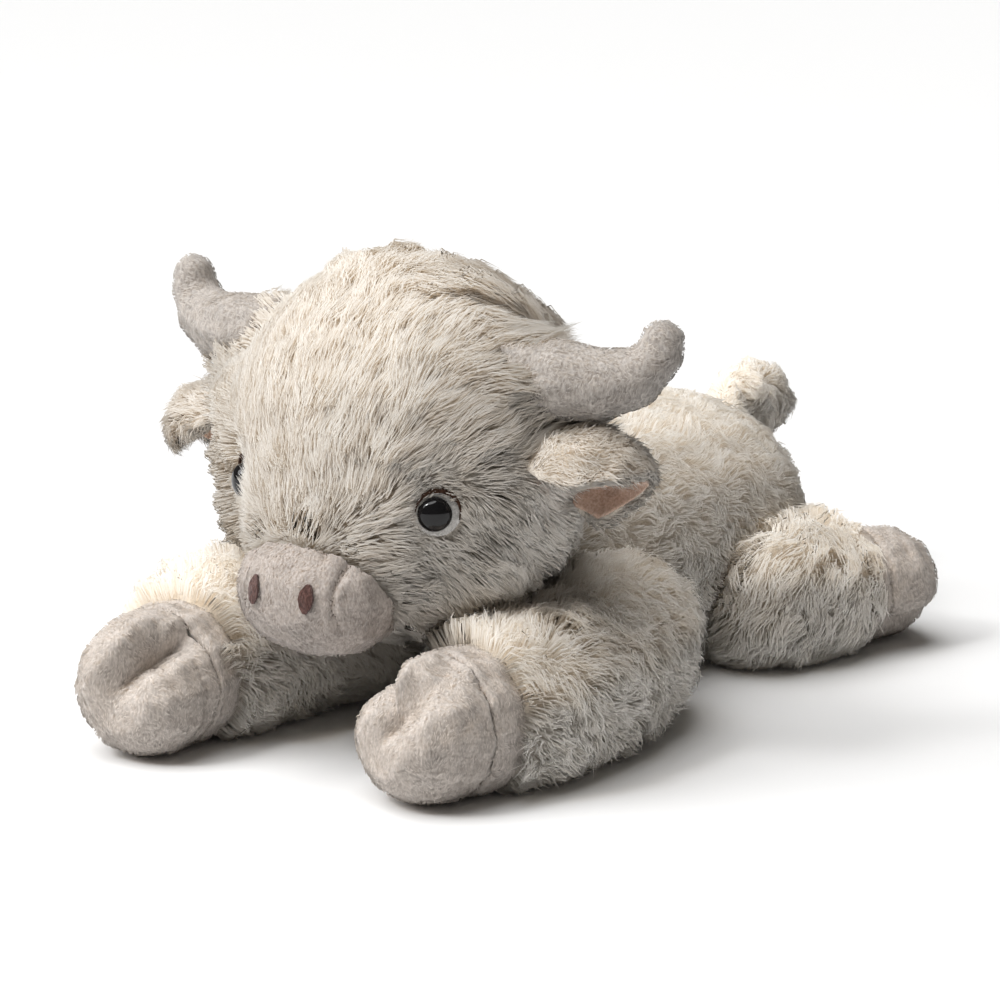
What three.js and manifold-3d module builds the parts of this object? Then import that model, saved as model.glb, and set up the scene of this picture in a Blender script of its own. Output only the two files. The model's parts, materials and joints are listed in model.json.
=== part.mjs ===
// A plush cow that lies on its belly with its head between its forelegs.
// Lengths are millimetres. +Z is up, the cow looks along -Y and its left side is +X.
// Every stuffed part is a sewn skin, open where it is sewn on, round its own stuffing.
import * as THREE from 'three';
import { mergeVertices } from 'three/addons/utils/BufferGeometryUtils.js';
import Module from 'manifold-3d';

const wasm = await Module();
wasm.setup();

// Fits and fabrics
const clearance = 0.3; // gap between two pieces that touch
const seamGap = 0.5; // gap along a sewn joint that gives
const fineness = 0.08; // how far a piece's skin may lie off its exact cut
const overrun = 12; // how far a cutting shape passes the face that it cuts
const restDepth = 0.5; // how much the cloth is pressed flat where it lies on the floor
const fur = { pile: 6.5, backing: 3 }; // long-haired plush: hair, then knitted backing
const mane = { pile: 10 }; // the head's hair is longer than the body's, and the eyes are sunk in it
const nap = { wall: 3 }; // short-napped plush of the hooves, horns and muzzle
const felt = { thickness: 1.2 };
const furWall = fur.pile + fur.backing;
const maneWall = mane.pile + fur.backing;

// Torso: its front end is at y = 0 and it lies on the floor
const torso = { length: 256, width: 156, height: 125, neckBore: 21 };

// Head: the face lies ahead of the torso's front end, the chin above the floor
const head = { width: 166, depth: 154, height: 172, chin: 47, lead: 98 };
const muzzle = { width: 80, height: 56, depth: 60, jut: 16, chin: 51 };
const nostril = { width: 6.4, height: 13, apart: 28, level: 84, raise: 1.1 };

// Eyes: a domed button on a stem, held by a washer behind the cloth, on a felt white
const eye = { dome: 7.5, rise: 5, flange: 1, stem: 2.4, grip: 3, apart: 113, level: 118, pocket: 12.5 };
const washer = { radius: 7, thickness: 2.2 };
const eyeWhite = { radius: 9.8, offset: 1.5 };
const eyelid = { width: 2.6, edge: 0.5, from: -16, to: 172 };

// Horns and ears: setback is how far behind the face they are sewn to the head
const horn = { radius: 15.5, spread: 256, rise: 22, sweep: 20, level: 178, setback: 68, inset: 26 };
const ear = { length: 52, cup: 25, fabric: 5, lining: 2, level: 131, setback: 64, inset: 7 };
const earLie = { leftDrop: 4, leftSweep: 9, rightDrop: 18, rightSweep: 16 }; // at the tip

// Legs: the stuffed core, with skins of fur or short nap round it
const foreleg = { length: 200, core: 28.5, thigh: 33, toe: 39, band: 16 };
const hindleg = { length: 119, core: 25, thigh: 31, toe: 34, band: 11 };
const cleft = { depth: 11, width: 9 };

// Tail: a short stub that stands up and back from the rump
const tail = { length: 54, radius: 13 };

// Where the limbs are sewn on: in from the torso's side, and along it from its nearer end
const shoulder = { inset: 26, along: 78, slip: 18 };
const hip = { inset: 22, along: 114 };
const shoulderSeat = { across: torso.width / 2 - shoulder.inset, back: shoulder.along };
const slippedSeat = { across: shoulderSeat.across, back: shoulderSeat.back - shoulder.slip };
const hipSeat = { across: torso.width / 2 - hip.inset, back: torso.length - hip.along };

// How each limb lies: degrees outwards, its bow as a share of its length, and degrees of roll inwards
const roll = 28;
const limbs = [
  { name: 'foreleg_left', side: 1, leg: foreleg, seat: shoulderSeat, yaw: 1, bowShare: 0.11 },
  { name: 'foreleg_right', side: -1, leg: foreleg, seat: slippedSeat, yaw: 6, bowShare: 0.06 },
  { name: 'hindleg_left', side: 1, leg: hindleg, seat: hipSeat, yaw: 153, bowShare: 0 },
  { name: 'hindleg_right', side: -1, leg: hindleg, seat: hipSeat, yaw: 153, bowShare: 0 },
];

// Degrees that each sewn joint gives, counted from the way the cow lies
const swingDegrees = {
  headNod: [0, 18],
  earFlap: [-24, 8],
  tailWag: [-24, 24],
  foreleg: [0, 12],
  hindleg: [0, 10],
};

// Facets round each form, and round the stuffing in it
const sides = { torso: 18, head: 20, muzzle: 12, leg: 12, horn: 8, tail: 8, nostril: 10, round: 16, stem: 8 };
const coreSides = { torso: 14, head: 12, muzzle: 10, leg: 8, horn: 6, tail: 6 };

const colours = {
  fur: 0xcfc6b8,
  nap: 0xa8a09a,
  lining: 0xc9a48e,
  thread: 0x5a3630,
  eye: 0x0c0a0a,
  white: 0xd9d6d0,
  lid: 0x3a2018,
  plastic: 0xe6e6e2,
  fibre: 0xf1efe8,
};

const up = new THREE.Vector3(0, 0, 1);
const vec = (x, y, z) => new THREE.Vector3(x, y, z);
const radians = THREE.MathUtils.degToRad;
const mix = THREE.MathUtils.lerp;

// Values of a table of [share, value, value ...] rows at a share along it
function along(table, share) {
  const last = table.length - 1;
  let row = 1;
  while (row < last && table[row][0] < share) row += 1;
  const [before, after] = [table[row - 1], table[row]];
  const part = THREE.MathUtils.clamp((share - before[0]) / (after[0] - before[0]), 0, 1);
  return before.slice(1).map((value, column) => mix(value, after[column + 1], part));
}

// One ring of a form: a squared ellipse about a centre, with half-axes u and v
function ring(centre, u, v, count, square = 2) {
  const curl = (value) => Math.sign(value) * Math.abs(value) ** (2 / square);
  return Array.from({ length: count }, (_, i) => {
    const angle = (2 * Math.PI * i) / count;
    return centre.clone().addScaledVector(u, curl(Math.cos(angle))).addScaledVector(v, curl(Math.sin(angle)));
  });
}

// Geometry with its shared corners merged and its faces turned outwards
function closed(geometry) {
  const bare = new THREE.BufferGeometry();
  bare.setAttribute('position', geometry.getAttribute('position'));
  bare.setIndex(geometry.index);
  const merged = mergeVertices(bare);
  const place = merged.getAttribute('position');
  const order = merged.index.array;
  const corner = [vec(), vec(), vec()];
  let volume = 0;
  for (let i = 0; i < order.length; i += 3) {
    corner.forEach((point, j) => point.fromBufferAttribute(place, order[i + j]));
    volume += corner[0].dot(corner[1].clone().cross(corner[2]));
  }
  if (volume < 0) {
    for (let i = 0; i < order.length; i += 3) [order[i + 1], order[i + 2]] = [order[i + 2], order[i + 1]];
  }
  return merged;
}

// Closed skin over rings of points, with a fan from each end ring to its pole
function loft(rings, firstPole, lastPole) {
  const count = rings[0].length;
  const points = [firstPole, ...rings.flat(), lastPole];
  const faces = [];
  const at = (row, i) => 1 + row * count + (i % count);
  for (let i = 0; i < count; i += 1) {
    faces.push(0, at(0, i + 1), at(0, i));
    faces.push(points.length - 1, at(rings.length - 1, i), at(rings.length - 1, i + 1));
    for (let row = 1; row < rings.length; row += 1) {
      const [a, b, c, d] = [at(row - 1, i), at(row - 1, i + 1), at(row, i + 1), at(row, i)];
      faces.push(a, b, c, a, c, d);
    }
  }
  const geometry = new THREE.BufferGeometry().setFromPoints(points);
  geometry.setIndex(faces);
  return closed(geometry);
}

// Closed plate between two grids of points of the same size
function plate(front, back) {
  const rows = front.length;
  const columns = front[0].length;
  const points = [...front.flat(), ...back.flat()];
  const faces = [];
  const at = (row, column, layer) => layer * rows * columns + row * columns + column;
  const quad = (a, b, c, d) => faces.push(a, b, c, a, c, d);
  for (let r = 1; r < rows; r += 1) {
    for (let c = 1; c < columns; c += 1) {
      quad(at(r - 1, c - 1, 0), at(r - 1, c, 0), at(r, c, 0), at(r, c - 1, 0));
      quad(at(r - 1, c - 1, 1), at(r, c - 1, 1), at(r, c, 1), at(r - 1, c, 1));
    }
    quad(at(r - 1, 0, 1), at(r - 1, 0, 0), at(r, 0, 0), at(r, 0, 1));
    quad(at(r - 1, columns - 1, 0), at(r - 1, columns - 1, 1), at(r, columns - 1, 1), at(r, columns - 1, 0));
  }
  for (let c = 1; c < columns; c += 1) {
    quad(at(0, c, 0), at(0, c - 1, 0), at(0, c - 1, 1), at(0, c, 1));
    quad(at(rows - 1, c - 1, 0), at(rows - 1, c, 0), at(rows - 1, c, 1), at(rows - 1, c - 1, 1));
  }
  const geometry = new THREE.BufferGeometry().setFromPoints(points);
  geometry.setIndex(faces);
  return closed(geometry);
}

// Copy of a rounded geometry with its skin moved inwards by a depth, or outwards by a negative one
function inset(geometry, depth) {
  geometry.computeBoundingBox();
  const size = geometry.boundingBox.getSize(vec());
  const centre = geometry.boundingBox.getCenter(vec());
  const share = size.clone().subScalar(2 * depth).divide(size);
  return geometry.clone().translate(-centre.x, -centre.y, -centre.z)
    .scale(share.x, share.y, share.z).translate(centre.x, centre.y, centre.z);
}

// Exact solid of a closed geometry
function solid(geometry) {
  const merged = closed(geometry);
  return new wasm.Manifold(new wasm.Mesh({
    numProp: 3,
    vertProperties: merged.getAttribute('position').array,
    triVerts: Uint32Array.from(merged.index.array),
  }));
}

// The largest body of a cut solid: a cut can leave loose crumbs beside it
function mainBody(cut) {
  return cut.decompose().reduce((most, body) => (body.volume() > most.volume() ? body : most));
}

// Named mesh of a finished solid
function piece(name, body, colour, roughness = 1) {
  const mesh = mainBody(body.simplify(fineness)).getMesh();
  const geometry = new THREE.BufferGeometry();
  geometry.setAttribute('position', new THREE.BufferAttribute(mesh.vertProperties, 3));
  geometry.setIndex(new THREE.BufferAttribute(mesh.triVerts, 1));
  geometry.computeVertexNormals();
  const named = new THREE.Mesh(geometry, new THREE.MeshStandardMaterial({ color: colour, roughness }));
  named.name = name;
  return named;
}

// The floor: a slab that cuts flat what lies on it
function floorSlab() {
  const reach = torso.length + head.lead + foreleg.length;
  const slab = new THREE.BoxGeometry(2 * reach, 2 * reach, torso.height);
  return solid(slab.translate(0, 0, -torso.height / 2));
}
const floor = floorSlab();

// A neighbour, where a piece that turns on a hinge meets it over the hinge's whole range
function swept(geometry, hinge) {
  const [least, most] = hinge.range;
  const angles = new Set([least, least / 2, 0, most / 2, most]);
  const [x, y, z] = hinge.place.toArray();
  return wasm.Manifold.union([...angles].map((angle) => {
    const turn = new THREE.Matrix4().makeRotationAxis(hinge.axis, radians(-angle));
    return solid(geometry.clone().translate(-x, -y, -z).applyMatrix4(turn).translate(x, y, z));
  }));
}

// Torso: rings across Y. Shares of its length, half-width, top and underside height
const torsoShares = [
  [0.05, 0.44, 0.72, 0.22],
  [0.14, 0.70, 0.90, 0.06],
  [0.29, 0.88, 1, 0],
  [0.50, 0.94, 1, 0],
  [0.70, 0.98, 0.96, 0],
  [0.82, 0.89, 0.88, 0.02],
  [0.91, 0.70, 0.78, 0.09],
  [0.975, 0.38, 0.62, 0.24],
];
const torsoPoleShares = { front: 0.46, rear: 0.44 };
const torsoSquare = 2.15;

// Its facets are an even number that four doesn't divide
function torsoForm(count) {
  const full = torso.height + restDepth;
  const level = (share) => share * full - restDepth;
  // A flat facet, not a corner, lies on the floor
  const crest = Math.cos(Math.PI / count) ** (2 / torsoSquare);
  const rings = torsoShares.map(([at, width, top, under]) => ring(
    vec(0, at * torso.length, level((top + under) / 2)),
    vec((width * torso.width) / 2, 0, 0),
    vec(0, 0, ((top - under) * full) / (2 * crest)),
    count,
    torsoSquare,
  ));
  const { front, rear } = torsoPoleShares;
  return loft(rings, vec(0, 0, level(front)), vec(0, torso.length, level(rear)));
}

// Head: rings across Z. Shares of its height, half-width, and depth at the face and the nape
const headShares = [
  [0.05, 0.46, 0.17, 0.62],
  [0.14, 0.74, 0.05, 0.80],
  [0.26, 0.91, 0.005, 0.92],
  [0.39, 0.985, 0, 0.985],
  [0.52, 1, 0.01, 1],
  [0.65, 0.965, 0.035, 0.985],
  [0.77, 0.86, 0.10, 0.92],
  [0.87, 0.69, 0.20, 0.82],
  [0.95, 0.44, 0.33, 0.69],
];
const headPoleShares = { chin: 0.42, crown: 0.50 };

function headForm(count) {
  const depth = (share) => share * head.depth - head.lead;
  const rings = headShares.map(([at, width, face, nape]) => ring(
    vec(0, depth((face + nape) / 2), head.chin + at * head.height),
    vec((width * head.width) / 2, 0, 0),
    vec(0, ((nape - face) * head.depth) / 2, 0),
    count,
  ));
  return loft(
    rings,
    vec(0, depth(headPoleShares.chin), head.chin),
    vec(0, depth(headPoleShares.crown), head.chin + head.height),
  );
}

// Half-width of the head, and its centre and half-depth along Y, at a level
function headAt(level) {
  const [width, face, nape] = along(headShares, (level - head.chin) / head.height);
  return {
    halfWidth: (width * head.width) / 2,
    centre: ((face + nape) / 2) * head.depth - head.lead,
    halfDepth: ((nape - face) * head.depth) / 2,
  };
}

// Point on the face at a distance from the mid-plane and a level, and the way it faces
function onFace(across, level) {
  const { halfWidth, centre, halfDepth } = headAt(level);
  const forward = Math.sqrt(1 - (across / halfWidth) ** 2);
  return {
    point: vec(across, centre - halfDepth * forward, level),
    facing: vec(across / halfWidth ** 2, -forward / halfDepth, 0).normalize(),
  };
}

// Muzzle: rings across Y. Shares of its depth and of its girth
const muzzleShares = [[0.03, 0.38], [0.13, 0.70], [0.29, 0.92], [0.5, 1], [0.70, 0.93], [0.90, 0.6]];
const muzzleSquare = 2.2;
const nostrilSquare = 1.7;

function muzzleForm(count) {
  const centre = (share) => vec(
    0,
    share * muzzle.depth - muzzle.jut - head.lead,
    muzzle.chin + muzzle.height / 2,
  );
  const rings = muzzleShares.map(([at, girth]) => ring(
    centre(at),
    vec((girth * muzzle.width) / 2, 0, 0),
    vec(0, 0, (girth * muzzle.height) / 2),
    count,
    muzzleSquare,
  ));
  return loft(rings, centre(0), centre(1));
}

const forms = { torso: torsoForm(sides.torso), head: headForm(sides.head), muzzle: muzzleForm(sides.muzzle) };
const cores = {
  torso: torsoForm(coreSides.torso),
  head: headForm(coreSides.head),
  muzzle: muzzleForm(coreSides.muzzle),
};
const grown = {
  torso: inset(forms.torso, -seamGap),
  head: inset(forms.head, -seamGap),
  muzzle: inset(forms.muzzle, -seamGap),
};

// The neck: where the head is sewn to the torso, and the way its opening looks
const neckShares = { back: 0.14, height: 0.9 };
const neckTilt = radians(40);
const neck = {
  place: vec(0, neckShares.back * torso.length, neckShares.height * torso.height),
  facing: vec(0, -Math.sin(neckTilt), Math.cos(neckTilt)),
};
const headHinge = { place: neck.place, axis: vec(-1, 0, 0), range: swingDegrees.headNod };

const cow = new THREE.Group();

// Torso: the skin has a neck bore that the head's opening covers
function addTorso() {
  const reach = 2 * (furWall + overrun);
  const bore = new THREE.CylinderGeometry(torso.neckBore, torso.neckBore, reach, sides.round);
  bore.applyQuaternion(new THREE.Quaternion().setFromUnitVectors(vec(0, 1, 0), neck.facing));
  bore.translate(...neck.place.toArray());
  const skin = solid(forms.torso)
    .subtract(solid(inset(cores.torso, furWall)))
    .subtract(solid(bore))
    .subtract(floor);
  cow.add(piece('torso_skin', skin, colours.fur));
  cow.add(piece('torso_stuffing', solid(inset(cores.torso, furWall + clearance)), colours.fibre));
}
addTorso();

// Frame of an eye: X outwards across the face, Y up, Z out of the face, at the knitted backing
function eyeFrame(side) {
  const { point, facing } = onFace(eye.apart / 2, eye.level);
  const seat = point.addScaledVector(facing, -mane.pile);
  const raised = up.clone().addScaledVector(facing, -up.dot(facing)).normalize();
  const outward = raised.clone().cross(facing).normalize();
  const frame = new THREE.Matrix4().makeBasis(outward, raised, facing).setPosition(seat);
  return new THREE.Matrix4().makeScale(side, 1, 1).multiply(frame);
}

// Round bar of a radius between two distances along an eye's axis
function eyeBar(frame, radius, from, to, count = sides.stem) {
  const bar = new THREE.CylinderGeometry(radius, radius, to - from, count);
  return solid(bar.rotateX(Math.PI / 2).translate(0, 0, (from + to) / 2).applyMatrix4(frame));
}

const eyeStack = {
  white: clearance,
  lid: 2 * clearance + felt.thickness,
  washer: -fur.backing - clearance,
};
eyeStack.inner = eyeStack.washer - washer.thickness - eye.grip;

// Button: a dome over a flange, in one piece with its stem
function eyeButton(frame) {
  const base = eyeStack.lid;
  const arc = Array.from({ length: 5 }, (_, i) => {
    const angle = (i * Math.PI) / 8;
    return new THREE.Vector2(eye.dome * Math.cos(angle), base + eye.flange + eye.rise * Math.sin(angle));
  });
  arc[arc.length - 1].x = 0;
  const profile = [
    new THREE.Vector2(0, eyeStack.inner),
    new THREE.Vector2(eye.stem, eyeStack.inner),
    new THREE.Vector2(eye.stem, base),
    new THREE.Vector2(eye.dome, base),
    ...arc,
  ];
  return solid(new THREE.LatheGeometry(profile, sides.round).rotateX(Math.PI / 2).applyMatrix4(frame));
}

// Felt disc behind the button, set low and outwards so that it shows on that side
function eyeWhiteDisc(frame) {
  const disc = new THREE.CylinderGeometry(eyeWhite.radius, eyeWhite.radius, felt.thickness, sides.round);
  disc.rotateX(Math.PI / 2).translate(eyeWhite.offset, -eyeWhite.offset, eyeStack.white + felt.thickness / 2);
  return solid(disc.applyMatrix4(frame)).subtract(eyeBar(frame, eye.stem + clearance, 0, overrun));
}

// Felt crescent over the top of the button
function eyelidCrescent(frame) {
  const inner = eye.dome + clearance;
  const steps = sides.round / 2;
  const points = Array.from({ length: steps + 1 }, (_, i) => {
    const angle = radians(mix(eyelid.from, eyelid.to, i / steps));
    const width = eyelid.edge + eyelid.width * Math.sin((i * Math.PI) / steps);
    return { angle, width };
  });
  const arm = ({ angle }, radius) => new THREE.Vector2(radius * Math.cos(angle), radius * Math.sin(angle));
  const outline = [
    ...points.map((point) => arm(point, inner + point.width)),
    ...points.toReversed().map((point) => arm(point, inner)),
  ];
  const felting = new THREE.ExtrudeGeometry(new THREE.Shape(outline), {
    depth: felt.thickness,
    bevelEnabled: false,
  });
  return solid(felting.translate(0, 0, eyeStack.lid).applyMatrix4(frame));
}

function eyeWasher(frame) {
  const back = eyeStack.washer - washer.thickness;
  return eyeBar(frame, washer.radius, back, eyeStack.washer)
    .subtract(eyeBar(frame, eye.stem + clearance, back - overrun, overrun));
}

// Head skin and stuffing, clear of the torso over the nod, with a pocket and a bore for each eye
function addHead() {
  const neckCut = swept(grown.torso, headHinge);
  let skin = solid(forms.head).subtract(solid(inset(cores.head, maneWall))).subtract(neckCut);
  let stuffing = solid(inset(cores.head, maneWall + clearance)).subtract(neckCut);
  [['left', 1], ['right', -1]].forEach(([name, side]) => {
    const frame = eyeFrame(side);
    const back = eyeStack.washer - washer.thickness - clearance;
    skin = skin
      .subtract(eyeBar(frame, eye.pocket, 0, mane.pile + overrun, sides.round))
      .subtract(eyeBar(frame, washer.radius + clearance, -overrun, eyeStack.washer + clearance))
      .subtract(eyeBar(frame, eye.stem + clearance, -overrun, overrun));
    stuffing = stuffing
      .subtract(eyeBar(frame, washer.radius + clearance, back, overrun))
      .subtract(eyeBar(frame, eye.stem + clearance, eyeStack.inner - clearance, overrun));
    cow.add(piece(`eye_${name}_button`, eyeButton(frame), colours.eye, 0.1));
    cow.add(piece(`eye_${name}_white`, eyeWhiteDisc(frame), colours.white));
    cow.add(piece(`eye_${name}_lid`, eyelidCrescent(frame), colours.lid));
    cow.add(piece(`eye_${name}_washer`, eyeWasher(frame), colours.plastic, 0.5));
  });
  cow.add(piece('head_skin', skin, colours.fur));
  cow.add(piece('head_stuffing', stuffing, colours.fibre));
}
addHead();

// Muzzle, sewn on the face, with two embroidered nostrils that follow its curve
function addMuzzle() {
  const face = solid(inset(forms.head, -clearance));
  const skin = solid(forms.muzzle).subtract(solid(inset(cores.muzzle, nap.wall))).subtract(face);
  const stuffing = solid(inset(cores.muzzle, nap.wall + clearance)).subtract(face);
  cow.add(piece('muzzle_skin', skin, colours.nap));
  cow.add(piece('muzzle_stuffing', stuffing, colours.fibre));
  const stitches = solid(inset(forms.muzzle, -clearance - nostril.raise))
    .subtract(solid(inset(forms.muzzle, -clearance)));
  [['left', 1], ['right', -1]].forEach(([name, side]) => {
    const outline = (y) => ring(
      vec((side * nostril.apart) / 2, y, nostril.level),
      vec(nostril.width / 2, 0, 0),
      vec(0, 0, nostril.height / 2),
      sides.nostril,
      nostrilSquare,
    );
    const front = -head.lead - muzzle.jut - overrun;
    const back = front + muzzle.jut + overrun;
    const centre = (y) => vec((side * nostril.apart) / 2, y, nostril.level);
    const patch = loft([outline(front), outline(back)], centre(front), centre(back));
    cow.add(piece(`nostril_${name}`, stitches.intersect(solid(patch)), colours.thread));
  });
}
addMuzzle();

// Round tube along a curve, closed to a tip: a wall makes it thinner and shorter
function taperedTube(curve, girthShares, radius, wall, count) {
  const reach = 1 - wall / curve.getLength();
  const level = curve.getTangentAt(0).cross(up);
  const rings = girthShares.map(([at, girth]) => {
    const ahead = curve.getTangentAt(at * reach);
    const u = ahead.clone().cross(level).normalize();
    const v = ahead.clone().cross(u).normalize();
    const thick = girth * radius - wall;
    return ring(curve.getPointAt(at * reach), u.multiplyScalar(thick), v.multiplyScalar(thick), count);
  });
  return solid(loft(rings, curve.getPointAt(0), curve.getPointAt(reach)));
}

// Horns: out from the head, dipping a little, then up to a blunt tip. Shares out, up and back
const hornShares = [
  [0, 0, 0],
  [0.42, -0.24, 0.18],
  [0.74, -0.26, 0.5],
  [0.94, 0.10, 0.85],
  [1, 1, 1],
];
const hornGirthShares = [
  [0, 1],
  [0.2, 1],
  [0.4, 1.06],
  [0.56, 0.95],
  [0.72, 0.77],
  [0.86, 0.63],
  [0.96, 0.48],
];

function addHorn(name, side) {
  const root = headAt(horn.level).halfWidth - horn.inset;
  const run = horn.spread / 2 - root;
  const curve = new THREE.CatmullRomCurve3(hornShares.map(([out, rise, sweep]) => vec(
    side * (root + out * run),
    horn.setback - head.lead + sweep * horn.sweep,
    horn.level + rise * horn.rise,
  )));
  const tube = (wall, count) => taperedTube(curve, hornGirthShares, horn.radius, wall, count);
  const face = solid(inset(forms.head, -clearance));
  const skin = tube(0, sides.horn).subtract(tube(nap.wall, coreSides.horn)).subtract(face);
  const stuffing = tube(nap.wall + clearance, coreSides.horn).subtract(face);
  cow.add(piece(`horn_${name}_skin`, skin, colours.nap));
  cow.add(piece(`horn_${name}_stuffing`, stuffing, colours.fibre));
}
addHorn('left', 1);
addHorn('right', -1);

// Ears: a cupped leaf. Shares of its length and cup radius, then of the half turn at its two rims
const earShares = [
  [0, 0.60, 0.16, 1.10],
  [0.25, 0.90, 0.07, 1.28],
  [0.55, 1, 0.04, 1.34],
  [0.82, 0.80, 0.14, 1.14],
  [1, 0.50, 0.40, 0.80],
];
const earColumns = 6;
const ears = [
  { name: 'left', side: 1, drop: earLie.leftDrop, sweep: earLie.leftSweep },
  { name: 'right', side: -1, drop: earLie.rightDrop, sweep: earLie.rightSweep },
];

function addEar({ name, side, drop, sweep }) {
  const root = vec(headAt(ear.level).halfWidth - ear.inset, ear.setback - head.lead, ear.level);
  const away = vec(Math.sqrt(ear.length ** 2 - drop ** 2 - sweep ** 2), sweep, -drop);
  const front = away.clone().cross(up).normalize();
  const raised = front.clone().cross(away).normalize();
  const mirror = new THREE.Matrix4().makeScale(side, 1, 1);
  const layer = (depth) => earShares.map(([share, cup, near, far]) => {
    const centre = root.clone().addScaledVector(away, share);
    return Array.from({ length: earColumns }, (_, column) => {
      const angle = Math.PI * mix(near, far, column / (earColumns - 1));
      const radius = cup * ear.cup - depth;
      return centre.clone()
        .addScaledVector(front, radius * Math.cos(angle))
        .addScaledVector(raised, radius * Math.sin(angle))
        .applyMatrix4(mirror);
    });
  });
  const lining = ear.fabric + clearance;
  const hinge = {
    place: root.clone().addScaledVector(vec(1, 0, 0), ear.inset).applyMatrix4(mirror),
    axis: vec(0, -side, 0),
    range: swingDegrees.earFlap,
  };
  const headCut = swept(grown.head, hinge);
  const back = solid(plate(layer(0), layer(ear.fabric))).subtract(headCut);
  const inner = solid(plate(layer(lining), layer(lining + ear.lining))).subtract(headCut);
  cow.add(piece(`ear_${name}_back`, back, colours.fur));
  cow.add(piece(`ear_${name}_lining`, inner, colours.lining));
  return hinge;
}
const earHinges = ears.map(addEar);

// Tail: shares of its length back and up, and where it leaves the rump
const tailShares = [[0, 0], [0.3, 0.14], [0.66, 0.15], [1, -0.05]];
const tailGirthShares = [[0, 1], [0.3, 1], [0.55, 1.21], [0.75, 1.31], [0.9, 1.05]];
const tailRootShares = { back: 0.93, height: 0.73 };

function addTail() {
  const root = vec(0, tailRootShares.back * torso.length, tailRootShares.height * torso.height);
  const curve = new THREE.CatmullRomCurve3(tailShares.map(([back, rise]) => vec(
    0,
    root.y + back * tail.length,
    root.z + rise * tail.length,
  )));
  const tube = (wall, count) => taperedTube(curve, tailGirthShares, tail.radius, wall, count);
  const hinge = { place: root.clone(), axis: up, range: swingDegrees.tailWag };
  const rumpCut = swept(grown.torso, hinge);
  const skin = tube(0, sides.tail).subtract(tube(furWall, coreSides.tail)).subtract(rumpCut);
  const stuffing = tube(furWall + clearance, coreSides.tail).subtract(rumpCut);
  cow.add(piece('tail_skin', skin, colours.fur));
  cow.add(piece('tail_stuffing', stuffing, colours.fibre));
  return hinge;
}
const tailHinge = addTail();

// Legs: shares of the furred length, of roundness, and of the way from the thigh's girth to the cuff's
const sleeveShares = [
  [0.04, 0.50, 0],
  [0.13, 0.84, 0],
  [0.28, 1, 0],
  [0.52, 1, 0.35],
  [0.78, 1, 0.8],
  [1, 1, 1],
];
const toeShares = [[0, 1], [0.48, 0.96], [0.77, 0.77], [0.93, 0.46]];
const legHingeShare = 0.28;

// Where a cleft comes in: shares of the toe's length, and of its height from the middle
const cleftShares = { front: [0.25, 0.8], top: [-0.8, 0.7] };

// Centre line of a leg: a straight reach from where it is sewn on, bowed sideways
function legLine({ side, leg, seat, yaw, bowShare }) {
  const ahead = vec(Math.sin(radians(yaw)), -Math.cos(radians(yaw)), 0);
  const outward = ahead.clone().cross(up).negate();
  const mirror = new THREE.Matrix4().makeScale(side, 1, 1);
  const start = vec(seat.across, seat.back, 0);
  const place = (distance) => start.clone()
    .addScaledVector(ahead, distance)
    .addScaledVector(outward, leg.length * bowShare * Math.sin((Math.PI * distance) / leg.length));
  return {
    at: (distance) => place(distance).applyMatrix4(mirror),
    across: (distance) => place(distance + leg.core).sub(place(distance - leg.core))
      .cross(up).normalize().applyMatrix4(mirror),
  };
}

// Rings of a leg: each row is [distance, girth of the core, share of roundness]
function legRings(limb, line, rows, wall, underWall, count = sides.leg) {
  return rows.map(([distance, girth, round]) => {
    const centre = line.at(distance);
    centre.z = girth + nap.wall - restDepth + (wall - underWall) / 2;
    const lean = radians(roll) * limb.side;
    const across = line.across(distance);
    const width = round * girth + wall;
    const height = round * girth + (wall + underWall) / 2;
    const u = across.clone().multiplyScalar(Math.cos(lean)).addScaledVector(up, Math.sin(lean));
    const v = across.clone().multiplyScalar(-Math.sin(lean)).addScaledVector(up, Math.cos(lean));
    return ring(centre, u.multiplyScalar(width), v.multiplyScalar(height), count);
  });
}

// Pole of a leg's form: on the centre line, at the middle of the core
function legPole(line, distance, girth) {
  const pole = line.at(distance);
  pole.z = girth + nap.wall - restDepth;
  return pole;
}

// Rows of the furred sleeve, from the sewn end to the cuff
function sleeveRows({ leg }) {
  const length = leg.length - leg.toe - leg.band;
  return sleeveShares.map(([at, round, taper]) => [at * length, mix(leg.thigh, leg.core, taper), round]);
}

// Rows of a toe that is shorter than its hoof by a setback
function toeRows({ leg }, setback) {
  const start = leg.length - leg.toe;
  return toeShares.map(([at, round]) => [start + at * (leg.toe - setback), leg.core, round]);
}

// A hoof is cloven: a notch runs down the inner side of its top and fades on the front
function cloven(rings, tip, line, { leg, side }) {
  const start = line.at(leg.length - leg.toe);
  const ahead = line.at(leg.length).sub(start).normalize();
  const across = line.across(leg.length);
  const middle = leg.core + nap.wall - restDepth;
  const lean = radians(roll) * side;
  const notch = across.clone().multiplyScalar(-Math.sin(lean)).addScaledVector(up, Math.cos(lean));
  const beside = across.clone().multiplyScalar(Math.cos(lean)).addScaledVector(up, Math.sin(lean));
  const smooth = THREE.MathUtils.smoothstep;
  const draw = (point) => {
    const offset = point.clone().sub(start).addScaledVector(up, -middle);
    const forward = smooth(offset.dot(ahead) / leg.toe, ...cleftShares.front);
    const raised = smooth(offset.dot(notch) / leg.core, ...cleftShares.top);
    const depth = cleft.depth * forward * raised * Math.exp(-((offset.dot(beside) / cleft.width) ** 2));
    return point.clone().addScaledVector(ahead, -depth).addScaledVector(notch, -depth * raised);
  };
  return { rings: rings.map((row) => row.map(draw)), tip: draw(tip) };
}

const legCutters = [grown.torso, grown.head, grown.muzzle];

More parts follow.
